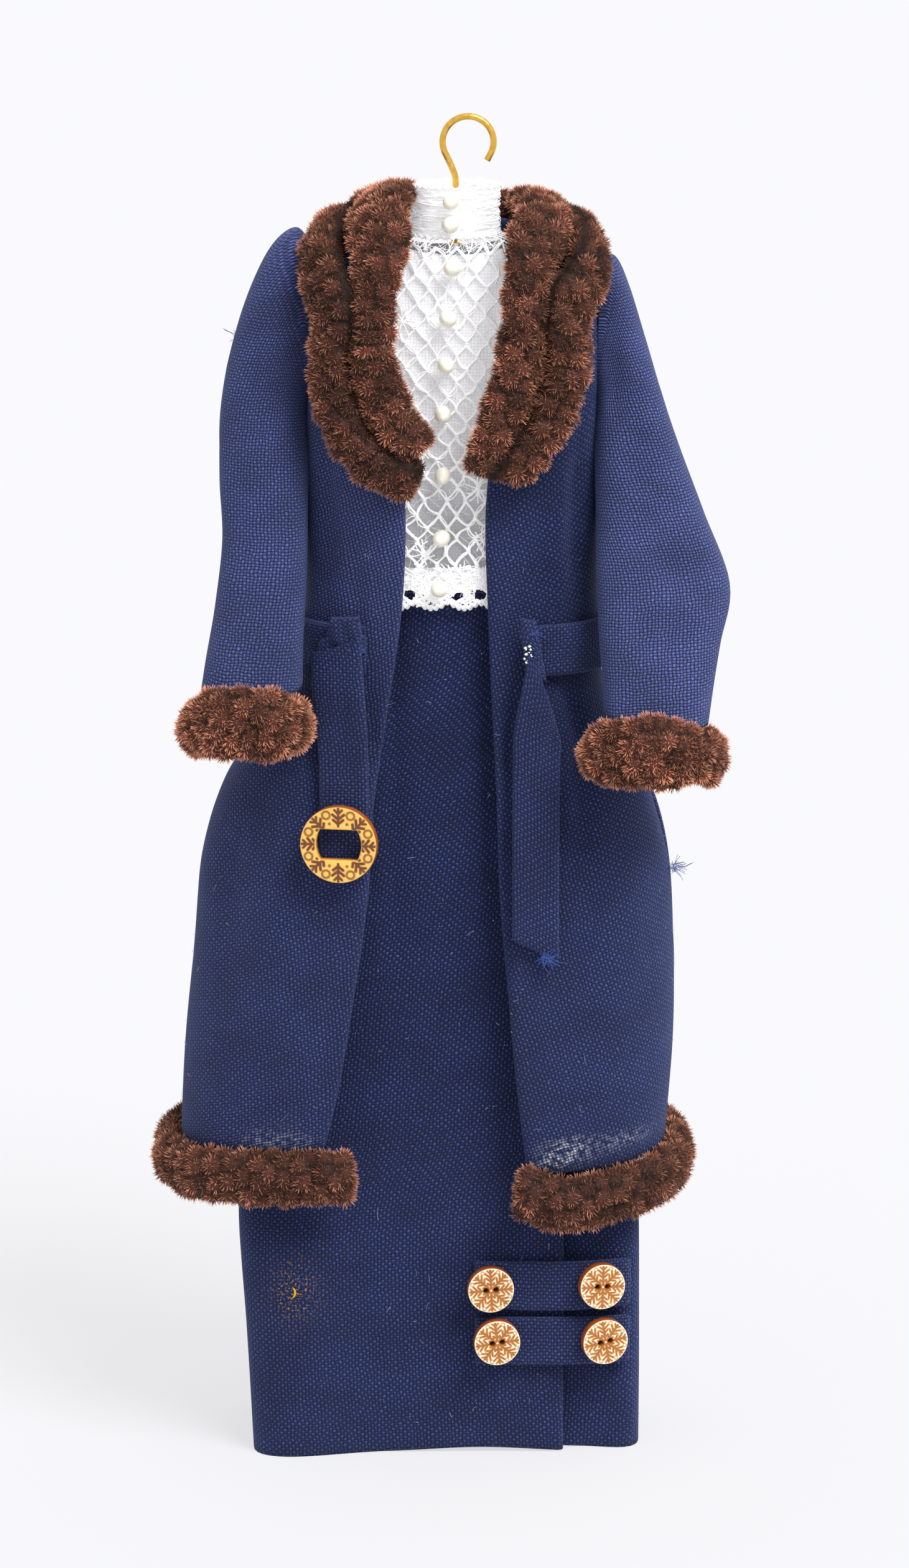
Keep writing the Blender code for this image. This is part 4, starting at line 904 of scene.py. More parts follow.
def threadPiece(name, chains, material, sides=4):  # chains of (points in mm, radius in mm)
    points, edges, radii = [], [], []
    for line, radius in chains:
        start = len(points)
        points.extend(((np.asarray(line, float) + setShift) * mm).tolist())
        radii.extend((np.broadcast_to(radius, len(line)) * mm).tolist())
        edges.extend((k, k + 1) for k in range(start, len(points) - 1))
    mesh = bpy.data.meshes.new(name)
    mesh.from_pydata(points, edges, [])
    piece = newObject(name, mesh)
    paintPoints(piece, "threadRadius", radii)
    return runTree(piece, threads, {"Sides": sides, "Material": material})


def laceChains(look):
    draw = np.random.default_rng(7)
    chains = []

    def strand(a, b, radius, bow=0.0, lift=0.0):  # a thread from a to b on the net, both (x, z)
        a, b = np.array(a, float), np.array(b, float)
        t = np.linspace(0, 1, 5)[:, None]
        across = np.array([b[1] - a[1], a[0] - b[0]])
        line = a + (b - a) * t + across * bow * np.sin(math.pi * t)
        swell = 1 + 0.45 * np.abs(2 * t[:, 0] - 1) ** 2
        chains.append((laceSpot(line[:, 0], line[:, 1], look["netOut"] + lift), radius * swell))

    rows = int((look["high"] - 84.5) / look["cellHigh"])
    middles = {}
    for row in range(rows + 1):
        z = 84.6 + row * look["cellHigh"]
        loose = 0.08 + 0.1 * (1 - ease(z, 88, 100))  # cells are less even lower down
        for column in range(-6, 7):
            x = (column + 0.5 * (row % 2)) * look["cellWide"] - 0.7
            middles[row, column] = np.array([x, z]) + draw.normal(0, loose, 2)
    knot = np.array([0.0, look["knot"]])
    for (row, column), here in middles.items():
        low, high = laceEdges(here[1])
        if not low < here[0] < high:
            continue
        strand(here - knot, here + knot, look["thread"] * draw.uniform(1.35, 1.8), 0.0, 0.03)
        for step in (0, 1):
            there = middles.get((row + 1, column + step - (1 - row % 2)))
            if there is None:
                continue
            low2, high2 = laceEdges(there[1])
            if not low2 - 0.3 < there[0] < high2 + 0.3:
                continue
            bow = draw.normal(0, 0.07)
            strand(here + knot, there - knot, look["thread"] * draw.uniform(0.8, 1.3), bow)
            strand(here + knot + draw.normal(0, 0.07, 2), there - knot + draw.normal(0, 0.07, 2),
                   look["thread"] * 0.5, bow + draw.normal(0, 0.12), 0.08)
    # flower-like stars of fine threads
    for starX, starZ, reach in ((-4.7, 108.4, 1.5), (3.9, 107.9, 1.5), (2.2, 93.0, 1.5), (-3.2, 96.5, 1.3),
                                (3.6, 99.5, 1.4), (-2.9, 87.0, 1.3), (2.6, 88.2, 1.2), (-4.4, 101.0, 1.4)):
        spokes = 11
        for k in range(spokes):
            way = 2 * math.pi * (k + draw.uniform(-0.2, 0.2)) / spokes
            length = reach * draw.uniform(0.8, 1.1)
            end = (starX + math.cos(way) * length * 0.8, starZ + math.sin(way) * length)
            low, high = laceEdges(end[1])
            if low < end[0] < high:
                strand((starX, starZ), end, look["thread"] * 0.55, draw.normal(0, 0.1), 0.12)
    # selvedge threads down both sides
    for side in (0, 1):
        heights = np.linspace(82.0, 115.3, 60)
        xs = laceEdges(heights)[side] + draw.normal(0, 0.04, 60)
        chains.append((laceSpot(xs, heights, look["netOut"]), look["thread"] * 0.9))
    # fine loose fibres over the net
    for _ in range(look["fuzz"]):
        z = draw.uniform(83.0, 115.0)
        low, high = laceEdges(z)
        x = draw.uniform(low + 0.2, high - 0.2)
        way, length = draw.uniform(0, math.pi), draw.uniform(0.4, 1.5)
        t = np.linspace(-0.5, 0.5, 4)
        curl = draw.normal(0, 0.25)
        lineX = np.clip(x + t * length * math.cos(way) + curl * (t * t - 0.08), low, high)
        lineZ = z + t * length * math.sin(way) - curl * (t * t - 0.08)
        chains.append((laceSpot(lineX, lineZ, look["netOut"] + draw.uniform(-0.25, 0.15)), 0.018))
    for _ in range(90):  # more of them across the open row under the neckband
        x, z = draw.uniform(-4.0, 4.0), draw.uniform(114.3, 115.5)
        way, length = draw.uniform(0, math.pi), draw.uniform(0.5, 1.6)
        t = np.linspace(-0.5, 0.5, 4)
        lineZ = np.clip(z + t * length * math.sin(way), 113.9, 115.5)
        lineX = np.clip(x + t * length * math.cos(way), -3.6, 3.6)
        chains.append((laceSpot(lineX, lineZ, look["netOut"] - draw.uniform(0.0, 0.5)), 0.022))
    # the dense border: wavy threads close together, with holes left open, over a scalloped edge
    holes = [(-4.1, 83.1, 0.42), (-2.1, 84.7, 0.3), (0.35, 83.0, 0.34), (2.35, 83.1, 0.45), (-5.6, 83.2, 0.4),
             (4.3, 83.2, 0.4)]
    for _ in range(1100):
        z = 82.2 + 3.6 * draw.beta(1.3, 1.8)
        low, high = laceEdges(z)
        x = draw.uniform(low + 0.1, high - 0.1)
        way = draw.normal(0, 0.8) + (math.pi / 2 if draw.random() < 0.35 else 0)
        length = draw.uniform(0.5, 1.4)
        t = np.linspace(-0.5, 0.5, 4)
        lineX, lineZ = x + t * length * math.cos(way), z + t * length * math.sin(way)
        if lineX.min() < low - 0.05 or lineX.max() > high + 0.1 or lineZ.min() < 81.9:
            continue
        if any(np.hypot((lineX - hx) / 1.25, lineZ - hz).min() < r for hx, hz, r in holes):
            continue
        chains.append((laceSpot(lineX, lineZ, look["netOut"] + draw.uniform(-0.2, 0.2)), draw.uniform(0.05, 0.1)))
    # scallops: small loops in arcs along the hem
    for turn in range(3):
        xs = np.linspace(-6.5, 5.3, 140)
        arcs = np.abs(np.sin(math.pi * (xs + 6.5) / 2.95))
        loops = 0.16 * np.sin(2 * math.pi * xs / 0.52 + turn)
        heights = 82.35 - 0.62 * arcs + loops + 0.1 * turn
        chains.append((laceSpot(xs, heights, look["netOut"] + 0.12 * (turn - 1)), 0.13))
    return chains


finishPiece(threadPiece("laceNetThreads", laceChains(laceLook), laceThread), None, "white_lace", "lace_front")

bandLook = {"columns": 120, "rows": 40, "thick": 0.35}
bandLevel = np.linspace(0, 1, bandLook["rows"])[:, None] * bandForm["top"]
bandTurn = np.arange(bandLook["columns"])[None, :] / bandLook["columns"]
bandHeight = np.interp(bandLevel, bandForm["levels"], bandForm["z"])
bandGather = 0.1 * np.sin(2 * math.pi * (bandHeight / 0.62 + 0.35 * np.sin(2 * math.pi * bandTurn * 7)))
bandGather = bandGather + wobble(bandTurn * 30, bandHeight * 3, 51, 5.0, 0.1)
bandSpots = formSpot(bandForm, bandLevel, bandTurn, bandGather)
bandCloth = gridPiece("neckbandCloth", bandSpots, clothUv(bandSpots, 0, 0.0, True), True)
finishPiece(thicken(bandCloth, bandLook["thick"]), whiteVoile, "white_lace", "neckband")


def bandChains():
    draw = np.random.default_rng(19)
    chains = []
    for _ in range(260):
        z = draw.uniform(116.0, 120.55)
        turn, length = draw.uniform(0, 1), draw.uniform(0.04, 0.16)
        t = np.linspace(0, length, 7)
        heights = np.clip(z + draw.normal(0, 0.05, 7).cumsum(), 115.95, 120.6)
        level = levelAt(bandForm, heights)
        chains.append((formSpot(bandForm, level, turn + t, draw.uniform(0.02, 0.2)), draw.uniform(0.025, 0.06)))
    for level, size in ((0.05, 0.11), (1.97, 0.1)):
        turns = np.linspace(0, 1, 160)
        rise = 0.06 * np.sin(2 * math.pi * turns * 34)
        chains.append((formSpot(bandForm, np.full(160, level) + rise, turns, 0.12), size))
    # the open seam below: crossing threads over gaps darkened with painted shade
    for k in range(34):
        turn = (k + draw.uniform(-0.3, 0.3)) / 34
        lean = draw.choice((-1, 1)) * 0.02
        top = formSpot(bandForm, 0.05, turn, 0.1)
        low = formSpot(blouseForm, levelAt(blouseForm, 114.6), turn + lean, 1.15)
        t = np.linspace(0, 1, 4)[:, None]
        chains.append((top * (1 - t) + low * t + 0.12 * np.sin(math.pi * t) * (top - low)[[1, 0, 2]], 0.07))
    return chains


finishPiece(threadPiece("neckbandThreads", bandChains(), laceThread), None, "white_lace", "neckband")

print("stage 7: pearls")
pearlRadius = 0.8
pearlSpots = [(-0.25, 119.5), (-0.3, 117.3), (-0.2, 113.2), (-0.6, 108.8), (-0.8, 104.7), (-1.1, 100.2),
              (-1.1, 94.5), (-1.2, 88.7), (-1.4, 83.9)]
for number, (pearlX, pearlZ) in enumerate(pearlSpots, 1):
    pearlForm = bandForm if number < 3 else blouseForm
    pearlOut = seamGap + pearlRadius if number < 3 else wall + layerGap + seamGap + pearlRadius
    middle = spotAt(pearlForm, pearlX, pearlZ, pearlOut)
    bead = bmesh.new()
    bmesh.ops.create_uvsphere(bead, u_segments=24, v_segments=16, radius=pearlRadius * mm)
    for vert in bead.verts:
        flat = 1 - 0.05 * math.cos(2 * math.atan2(vert.co.z, vert.co.x) + number)  # no two are quite round
        vert.co = vert.co * flat
        vert.co += Vector((middle + setShift) * mm)
    mesh = bpy.data.meshes.new(f"pearlBead{number}")
    bead.to_mesh(mesh)
    bead.free()
    mesh.shade_smooth()
    finishPiece(newObject(mesh.name, mesh), pearlCream, "pearl", f"pearl_{number}")

print("stage 8: buttons and buckle")


def lineMark(x, y, a, b, wide):  # 1 on a short engraved line, falling to 0 beside it
    d = np.array(b, float) - a
    t = np.clip(((x - a[0]) * d[0] + (y - a[1]) * d[1]) / (d @ d), 0, 1)
    away = np.hypot(x - a[0] - t * d[0], y - a[1] - t * d[1])
    return 1 - ease(away, wide * 0.55, wide)


def flakeMark(x, y, arms, turn, lines, rings):  # lines and rings are repeated on every arm, in units of the radius
    total = np.zeros(np.broadcast(x, y).shape)
    for k in range(arms):
        way = turn + 2 * math.pi * k / arms
        c, s = math.cos(way), math.sin(way)
        u, w = x * c + y * s, np.abs(-x * s + y * c)
        for a, b, wide in lines:
            total = np.maximum(total, lineMark(u, w, a, b, wide))
        half = way + math.pi / arms
        for distance, radius, wide in rings:
            away = np.hypot(x - distance * math.cos(half), y - distance * math.sin(half))
            total = np.maximum(total, 0.8 * (1 - ease(np.abs(away - radius), wide * 0.5, wide)))
    return total


buttonLook = {
    "radius": 2.2, "thick": 1.1, "holeRadius": 0.24, "holeSpread": 0.48, "groove": 0.05, "rings": 34, "sides": 160,
    "lines": [((0.1, 0.0), (0.9, 0.0), 0.075), ((0.2, 0.0), (0.34, 0.13), 0.06), ((0.4, 0.0), (0.56, 0.18), 0.065),
              ((0.57, 0.0), (0.76, 0.22), 0.065), ((0.75, 0.0), (0.9, 0.14), 0.055)],
    "circles": [(0.87, 0.075, 0.035), (0.62, 0.02, 0.035)],
}
buckleLook = {
    "radius": 3.6, "thick": 1.2, "holeHalfWide": 1.75, "holeHalfHigh": 1.45, "bulge": 0.4, "groove": 0.07,
    "rings": 30, "sides": 260,
    "lines": [((0.5, 0.0), (0.97, 0.0), 0.045), ((0.56, 0.0), (0.66, 0.13), 0.05),
              ((0.68, 0.0), (0.8, 0.15), 0.05), ((0.82, 0.0), (0.92, 0.1), 0.045)],
    "circles": [(0.84, 0.1, 0.04), (0.6, 0.02, 0.03)],
}


def facingAxes(normal, turn):
    across = np.cross([0.0, 0.0, 1.0], normal)
    across /= np.linalg.norm(across)
    up = np.cross(normal, across)
    return across * math.cos(turn) + up * math.sin(turn), up * math.cos(turn) - across * math.sin(turn)


def discPiece(name, look, middle, normal, turn, holeEdge):
    sides = look["sides"]
    angle = 2 * math.pi * np.arange(sides)[None, :] / sides
    radius, half, curl = look["radius"], look["thick"] / 2, 0.13
    start = holeEdge(angle)
    share = np.linspace(0, 1, look["rings"])[:, None]
    faceRing = start + curl * (start > 0.01) + share * (radius - curl - start - curl * (start > 0.01))
    flat = np.full((look["rings"], 1), half) + 0 * faceRing
    bends = np.linspace(0, math.pi / 2, 5)[1:, None]
    rimRing = radius - curl + curl * np.sin(bends) + 0 * angle
    rimFlat = half - curl + curl * np.cos(bends) + 0 * angle
    rings = [faceRing, rimRing, np.full((1, sides), radius), np.full((1, sides), radius - curl)]
    flats = [flat, rimFlat, np.full((1, sides), -half + curl), np.full((1, sides), -half)]
    if start.max() > 0.01:  # the hole's own wall closes the ring
        rings = [start, start, *rings, start + curl, start]
        flats = [np.full((1, sides), -half + curl), np.full((1, sides), half - curl), *flats,
                 np.full((1, sides), -half), np.full((1, sides), -half + curl)]
    else:
        rings.append(np.zeros((1, sides)))
        flats.append(np.full((1, sides), -half))
    ring, depth = np.concatenate(rings), np.concatenate(flats)
    x, y = ring * np.cos(angle), ring * np.sin(angle)
    upper = depth > half - 0.02
    burn = 0.62 * flakeMark(x / radius, y / radius, 8, math.pi / 2, look["lines"], look["circles"]) * upper
    depth = depth - look["groove"] * burn
    if "holeSpread" in look:
        for side in (-1, 1):
            away = np.hypot(x - side * look["holeSpread"], y)
            pit = 1 - ease(away, look["holeRadius"] * 0.7, look["holeRadius"] * 1.25)
            depth = depth - 0.85 * pit * upper
            burn = np.maximum(burn, pit * upper)
    rim = np.where(upper | (depth > half - 0.3) & (ring < radius - 0.02), 0.0, 1.0) * (ring > start.max() * 0.6)
    across, up = facingAxes(normal, turn)
    spots = middle + x[..., None] * across + y[..., None] * up + depth[..., None] * normal
    piece = gridPiece(name, spots, None, True)
    paintPoints(piece, "burn", burn)
    paintPoints(piece, "rim", rim)
    closeSeams(piece)
    piece.data.shade_smooth()
    return piece


def noHole(angle):
    return np.full(angle.shape, 1e-6)


def formPlace(form, x, z, out, lean):  # where a disc sits, and the way it faces with its own lean
    level = levelAt(form, z)
    normal = spotNormal(form, level, turnAt(form, level, x)) + lean
    return spotAt(form, x, z, out), normal / np.linalg.norm(normal)


def buckleHole(angle):  # distance from the middle to the edge of the oblong hole
    reach = np.linspace(0, 2.6, 400)[:, None]
    x, y = reach * np.cos(angle), reach * np.sin(angle)
    inside = (np.abs(y) < buckleLook["holeHalfHigh"]) & (
        np.abs(x) < buckleLook["holeHalfWide"] + buckleLook["bulge"] * (1 - (y / buckleLook["holeHalfHigh"]) ** 2)
    )
    return reach[np.argmin(inside, axis=0), 0][None, :]


for buttonName, buttonX, buttonZ, buttonTurn in (
    ("button_upper_right", 3.4, 17.0, 0.05), ("button_upper_left", 13.6, 17.2, -0.03),
    ("button_lower_right", 4.0, 11.8, 0.12), ("button_lower_left", 13.9, 11.8, 0.16),
):
    buttonMiddle, buttonNormal = formPlace(skirtForm, buttonX, buttonZ, seamGap + wall + layerGap + 0.55,
                                           (0.13, 0.0, -0.02))
    button = discPiece(buttonName + "Disc", buttonLook, buttonMiddle, buttonNormal, buttonTurn, noHole)
    finishPiece(button, buttonWood, "engraved_wood", buttonName)

buckleMiddle, buckleNormal = formPlace(coatForm, -10.4, 60.4, layerGap + wall + 0.55 + 0.6, (-0.06, 0.0, -0.1))
buckle = discPiece("beltBuckleRing", buckleLook, buckleMiddle, buckleNormal, 0.0, buckleHole)
finishPiece(buckle, buckleWood, "engraved_wood", "belt_buckle")

print("stage 9: hanger")
hookStem = np.array([(-0.75, 123.2), (-0.2, 122.0), (0.1, 120.9), (0.05, 119.0), (0.0, 116.0)])
hookAngles = np.radians(np.linspace(-28.0, 205.0, 44))
hookLine = np.concatenate([
    [(3.0, 122.75)],
    np.stack([1.25 + 2.35 * np.cos(hookAngles), 124.45 + 2.35 * np.sin(hookAngles)], axis=1),
    np.stack([smoothMix(np.arange(5), c, np.linspace(0, 4, 26)) for c in hookStem.T], axis=1),
    [(0.0, 115.0)],
])
armSide = np.linspace(-1, 1, 31)
armLine = np.stack([9.2 * armSide, 115.0 - 5.5 * np.abs(armSide) ** 1.15], axis=1)
wireChains = [
    (np.stack([line[:, 0], 0 * line[:, 0], line[:, 1]], axis=1), 0.3) for line in (hookLine, armLine)
]
finishPiece(threadPiece("hangerWire", wireChains, brass, 16), None, "brass_wire", "hanger")

print("stage 10: chenille trims")


def pileTree():  # short fibres all over a surface, spreading from the middle of each tuft
    tree, given, names = newTree("chenillePile", Density="Float", Length="Float", Radius="Float",
                                 Spread="Float", Seed="Int", Material="Material")
    wanted = given.outputs
    spread = addNode(tree, "GeometryNodeDistributePointsOnFaces",
                     {"Mesh": wanted["Geometry"], "Density": wanted["Density"], "Seed": wanted["Seed"]},
                     distribute_method="RANDOM")
    fibre = addNode(tree, "GeometryNodeMeshCone",
                    {"Vertices": 3, "Side Segments": 1, "Fill Segments": 1, "Radius Top": 0.0,
                     "Radius Bottom": wanted["Radius"], "Depth": wanted["Length"]}, fill_type="NGON")
    height = addNode(tree, "ShaderNodeSeparateXYZ", {0: addNode(tree, "GeometryNodeInputPosition")})
    upShare = mathNode(tree, "DIVIDE", height.outputs[2], wanted["Length"])
    tipped = addNode(tree, "GeometryNodeStoreNamedAttribute",
                     {"Geometry": fibre.outputs["Mesh"], "Name": "tip", "Value": upShare},
                     data_type="FLOAT", domain="POINT")
    tuftWay = addNode(tree, "GeometryNodeInputNamedAttribute", {"Name": "tuftWay"}, data_type="FLOAT_VECTOR")
    loose = addNode(tree, "FunctionNodeRandomValue",
                    {0: (-0.4, -0.4, -0.4), 1: (0.4, 0.4, 0.4), "Seed": wanted["Seed"]},
                    data_type="FLOAT_VECTOR")
    leaning = vectorNode(tree, "ADD", scaleNode(tree, tuftWay, wanted["Spread"]), loose)
    way = vectorNode(tree, "ADD", spread.outputs["Normal"], leaning)
    aligned = addNode(tree, "FunctionNodeAlignRotationToVector", {"Vector": way}, axis="Z")
    size = addNode(tree, "FunctionNodeRandomValue", {2: 0.65, 3: 1.15, "Seed": 9}, data_type="FLOAT")
    deep = addNode(tree, "GeometryNodeInputNamedAttribute", {"Name": "crevice"}, data_type="FLOAT")
    scale = mathNode(tree, "MULTIPLY", size.outputs[1], rangeNode(tree, deep, toMin=1.0, toMax=0.5))
    placed = addNode(tree, "GeometryNodeInstanceOnPoints",
                     {"Points": spread.outputs["Points"], "Instance": tipped, "Rotation": aligned, "Scale": scale})
    shade = addNode(tree, "FunctionNodeRandomValue", {2: 0.0, 3: 1.0, "Seed": 14}, data_type="FLOAT")
    shaded = addNode(tree, "GeometryNodeStoreNamedAttribute",
                     {"Geometry": placed, "Name": "shade", "Value": shade.outputs[1]},
                     data_type="FLOAT", domain="INSTANCE")
    joined = tree.nodes.new("GeometryNodeJoinGeometry")
    tree.links.new(wanted["Geometry"], joined.inputs[0])
    tree.links.new(shaded.outputs[0], joined.inputs[0])
    closeTree(tree, joined, given)
    return tree, names


pile = pileTree()
pileSize = {"length": 0.6, "radius": 0.066, "spread": 0.9, "tuft": 1.2, "dome": 0.6, "sides": 32, "step": 0.34}


def tuftPattern(spots, seed):  # each place's nearest tuft: its dome, the crease round it and the way out from it
    draw = np.random.default_rng(seed)
    flat = spots.reshape(-1, 3)
    middles = np.empty((0, 3))
    for spot in draw.permutation(flat):
        if not len(middles) or ((middles - spot) ** 2).sum(1).min() > pileSize["tuft"] ** 2:
            middles = np.vstack([middles, spot])
    apart = np.sqrt(((flat[:, None] - middles[None]) ** 2).sum(2))
    order = np.argsort(apart, axis=1)[:, :2]
    near, second = np.take_along_axis(apart, order, axis=1).T
    dome = 1 - (near / pileSize["tuft"]) ** 2
    crevice = np.clip((near / second - 0.35) / 0.6, 0, 1) ** 1.5
    way = (flat - middles[order[:, 0]]) / pileSize["tuft"]
    tone = draw.uniform(0.55, 1.6, len(middles))[order[:, 0]]
    return dome.reshape(spots.shape[:2]), crevice, way, tone


def pilePiece(name, path, outward, halfWidth, halfThick, closed, density, seed, node,
              inward=0.0, rival=None, paler=1.0):
    steps, outs, widths, inwards = (
        np.concatenate([a, a[:1]]) if closed else a
        for a in (path, outward, halfWidth + np.zeros(len(path)), inward + np.zeros(len(path)))
    )
    walked = np.concatenate([[0], np.cumsum(np.linalg.norm(np.diff(steps, axis=0), axis=1))])
    count = int(walked[-1] / pileSize["step"])
    at = np.linspace(0, walked[-1], count + (0 if closed else 1), endpoint=not closed)
    line = np.stack([np.interp(at, walked, c) for c in steps.T], axis=1)
    away = np.stack([np.interp(at, walked, c) for c in outs.T], axis=1)
    if closed:
        along = np.roll(line, -1, axis=0) - np.roll(line, 1, axis=0)
    else:
        along = np.gradient(line, axis=0)
    along /= np.linalg.norm(along, axis=1, keepdims=True)
    away = away - along * (away * along).sum(axis=1, keepdims=True)
    away /= np.linalg.norm(away, axis=1, keepdims=True)
    beside = np.cross(along, away)
    line = line + beside * np.interp(at, walked, inwards)[:, None]
    angle = 2 * math.pi * np.arange(pileSize["sides"]) / pileSize["sides"]
    size = np.ones(len(line))
    if not closed:  # blunt cut ends
        end = np.minimum(at, walked[-1] - at)
        size = np.sqrt(np.clip(1 - (1 - end / 1.1).clip(0, 1) ** 3, 0.0, 1))
    draw = np.random.default_rng(seed)
    lumps = sum(
        np.sin(at[:, None] * 2 * math.pi / pitch + sideways * angle[None, :] + phase)
        for pitch, sideways, phase in zip(draw.uniform(2.4, 6.0, 5), (1, 2, 3, -2, -1), draw.uniform(0, 6.28, 5))
    ) * 0.035
    short = 0.9 * pileSize["length"] + 0.7 * pileSize["dome"]
    wide = (np.interp(at, walked, widths)[:, None] - short + lumps) * size[:, None]
    thick = (halfThick - short + lumps) * size[:, None]
    sideways = beside[:, None] * (wide * np.cos(angle))[..., None]
    raised = away[:, None] * (thick * np.sin(angle))[..., None]
    dome, crevice, way, tone = tuftPattern(line[:, None] + sideways + raised, seed)
    if closed:
        crevice[: pileSize["sides"]] = 0.3  # the seam's two rings agree
    push = (beside[:, None] * np.cos(angle)[None, :, None] + away[:, None] * np.sin(angle)[None, :, None])
    push = push * (pileSize["dome"] * dome * size[:, None])[..., None]
    spots = line[:, None] + sideways + raised + push
    way = way.reshape(spots.shape)
    crevice, tone = crevice.reshape(spots.shape[:2]), tone.reshape(spots.shape[:2]) * paler
    if rival is not None:  # a short-haired line where two strips meet, darkened with painted shade
        toOwn, toRival = (
            np.sqrt(((spots[:, :, None] - other[None, None]) ** 2).sum(-1)).min(-1)
            for other in (line, rival)
        )
        meeting = np.exp(-(((toOwn - toRival) / 0.65) ** 2))
        crevice, tone = np.maximum(crevice, meeting), tone * (1 - 0.5 * meeting)
    if closed:
        spots, way, crevice, tone = (np.concatenate([a, a[:1]]) for a in (spots, way, crevice, tone))
    piece = gridPiece(name, spots, None, True)
    paintPoints(piece, "crevice", crevice)
    paintPoints(piece, "tuftTone", tone)
    leaning = piece.data.attributes.new("tuftWay", "FLOAT_VECTOR", "POINT")
    leaning.data.foreach_set("vector", way.reshape(-1).astype(np.float32))
    closeSeams(piece)
    runTree(piece, pile, {"Density": density * 1e6, "Length": pileSize["length"] * mm,
                          "Radius": pileSize["radius"] * mm, "Spread": pileSize["spread"],
                          "Seed": seed, "Material": chenille})
    print(f"  {name}: {len(piece.data.polygons)} faces")
    finishPiece(piece, None, "brown_fur", node)


def collarPath(spots):  # (x, z) on the fronts and (turn, z) round the neck, as in the solids' own table
    levels, turns = [], []
    for place, rows in spots.items():
        for across, z in rows:
            level = float(levelAt(coatForm, z))
            levels.append(level)
            if place == "round":
                turns.append(-across)
            else:
                turns.append(float(turnAt(coatForm, level, across)) - (place == "left front"))
    steps = np.arange(len(levels))
    at = np.linspace(0, steps[-1], 8 * steps[-1] + 1)
    level, turn = smoothMix(steps, levels, at), smoothMix(steps, turns, at)
    return formSpot(coatForm, level, turn, layerGap + 1.75), spotNormal(coatForm, level, turn)


innerSpots = {
    "right front": [(-3.4, 96.9), (-5.8, 100.8), (-7.2, 105.2), (-7.35, 109.6), (-7.25, 113.3)],
    "round": [(0.225, 116.3), (0.37, 115.9), (0.5, 115.4), (0.63, 115.4), (0.75, 115.4)],
    "left front": [(7.0, 112.9), (6.35, 109.2), (5.6, 104.6), (4.3, 100.0), (2.6, 94.9)],
}
outerSpots = {
    "right front": [(-3.3, 93.9), (-7.6, 96.1), (-10.0, 100.2), (-10.65, 105.4), (-10.4, 110.4)],
    "round": [(0.25, 114.7), (0.37, 112.9), (0.5, 111.6), (0.63, 112.9), (0.75, 114.7)],
    "left front": [(10.15, 110.2), (10.0, 105.4), (8.8, 100.6), (6.6, 97.0), (4.1, 95.1)],
}
innerPath, innerOut = collarPath(innerSpots)
outerPath, outerOut = collarPath(outerSpots)
nearNeck = ease(innerPath[:, 2], 112, 115.5)
neckReach = np.where(innerPath[:, 0] < 0, 1.7, 2.1) * (innerPath[:, 1] < 2) * ease(innerPath[:, 2], 112.3, 115.5)
pilePiece("collarInnerPile", innerPath, innerOut, 2.6 + 0.8 * nearNeck, 1.95, False, 26.0, 61, "collar_fur_inner",
          neckReach, outerPath, 1.2)
outerWidth = 2.5 + 0.4 * np.exp(-(((outerPath[:, 2] - 111) / 2.5) ** 2))
pilePiece("collarOuterPile", outerPath, outerOut, outerWidth, 1.95, False, 26.0, 62, "collar_fur_outer",
          0.3, innerPath)

for cuffName, cuffX, cuffY, cuffZ, cuffWide, cuffDeep, cuffTilt, cuffPhase, cuffSeed in (
    ("cuff_fur_right", -19.3, -11.4, 71.75, 4.7, 4.35, 0.15, 0.17, 66),
    ("cuff_fur_left", 18.3, -11.7, 69.05, 5.3, 4.1, -0.1, 1.17, 67),
):
    turn = 2 * math.pi * np.arange(90) / 90
    cuffPath = np.stack([cuffX + cuffWide * np.cos(turn), cuffY + cuffDeep * np.sin(turn),
                         cuffZ + cuffTilt * np.cos(turn)], axis=1)
    cuffOut = np.stack([np.cos(turn) * cuffDeep, np.sin(turn) * cuffWide, 0 * turn], axis=1)
    cuffLobes = 0.22 * np.sin(3 * turn + cuffPhase) + 0.18 * np.sin(5 * turn + 2 * cuffPhase)
    cuffPath[:, 2] += 0.6 - 0.7 * np.sin(turn) - 0.7 * np.cos(turn) ** 2 + 0.15 * np.sin(2 * turn + cuffPhase)
    cuffWidth = 2.65 + 1.0 * ease(-np.sin(turn), 0, 1) + cuffLobes  # fullest in front
    pilePiece(cuffName + "Pile", cuffPath, cuffOut, cuffWidth, 1.95, True, 33.5, cuffSeed, cuffName, paler=1.4)

hemStart = float(turnAt(coatForm, 0.0, 5.6))
hemEnd = 1 + float(turnAt(coatForm, 0.0, -9.3))
hemStep = np.linspace(0, 40, 241)
hemTurn = hemStart + (hemEnd - hemStart) * hemStep / 40
hemPath = formSpot(coatForm, 0 * hemTurn, hemTurn, 0.9)
hemDrop = 3.0 * (1 - ease(hemTurn, hemStart, 0.25)) - 1.8 * (1 - ease(hemStep, 0, 2))
hemPath[:, 2] = 31.8 - seamGap - 2.65 - hemDrop - hemDip(hemTurn)
hemOut = spotNormal(coatForm, 0 * hemTurn, hemTurn) * (1, 1, 0)
pilePiece("hemPile", hemPath, hemOut, 2.95, 2.15, False, 18.5, 65, "hem_fur")

print("stage 11: lint and loose threads")


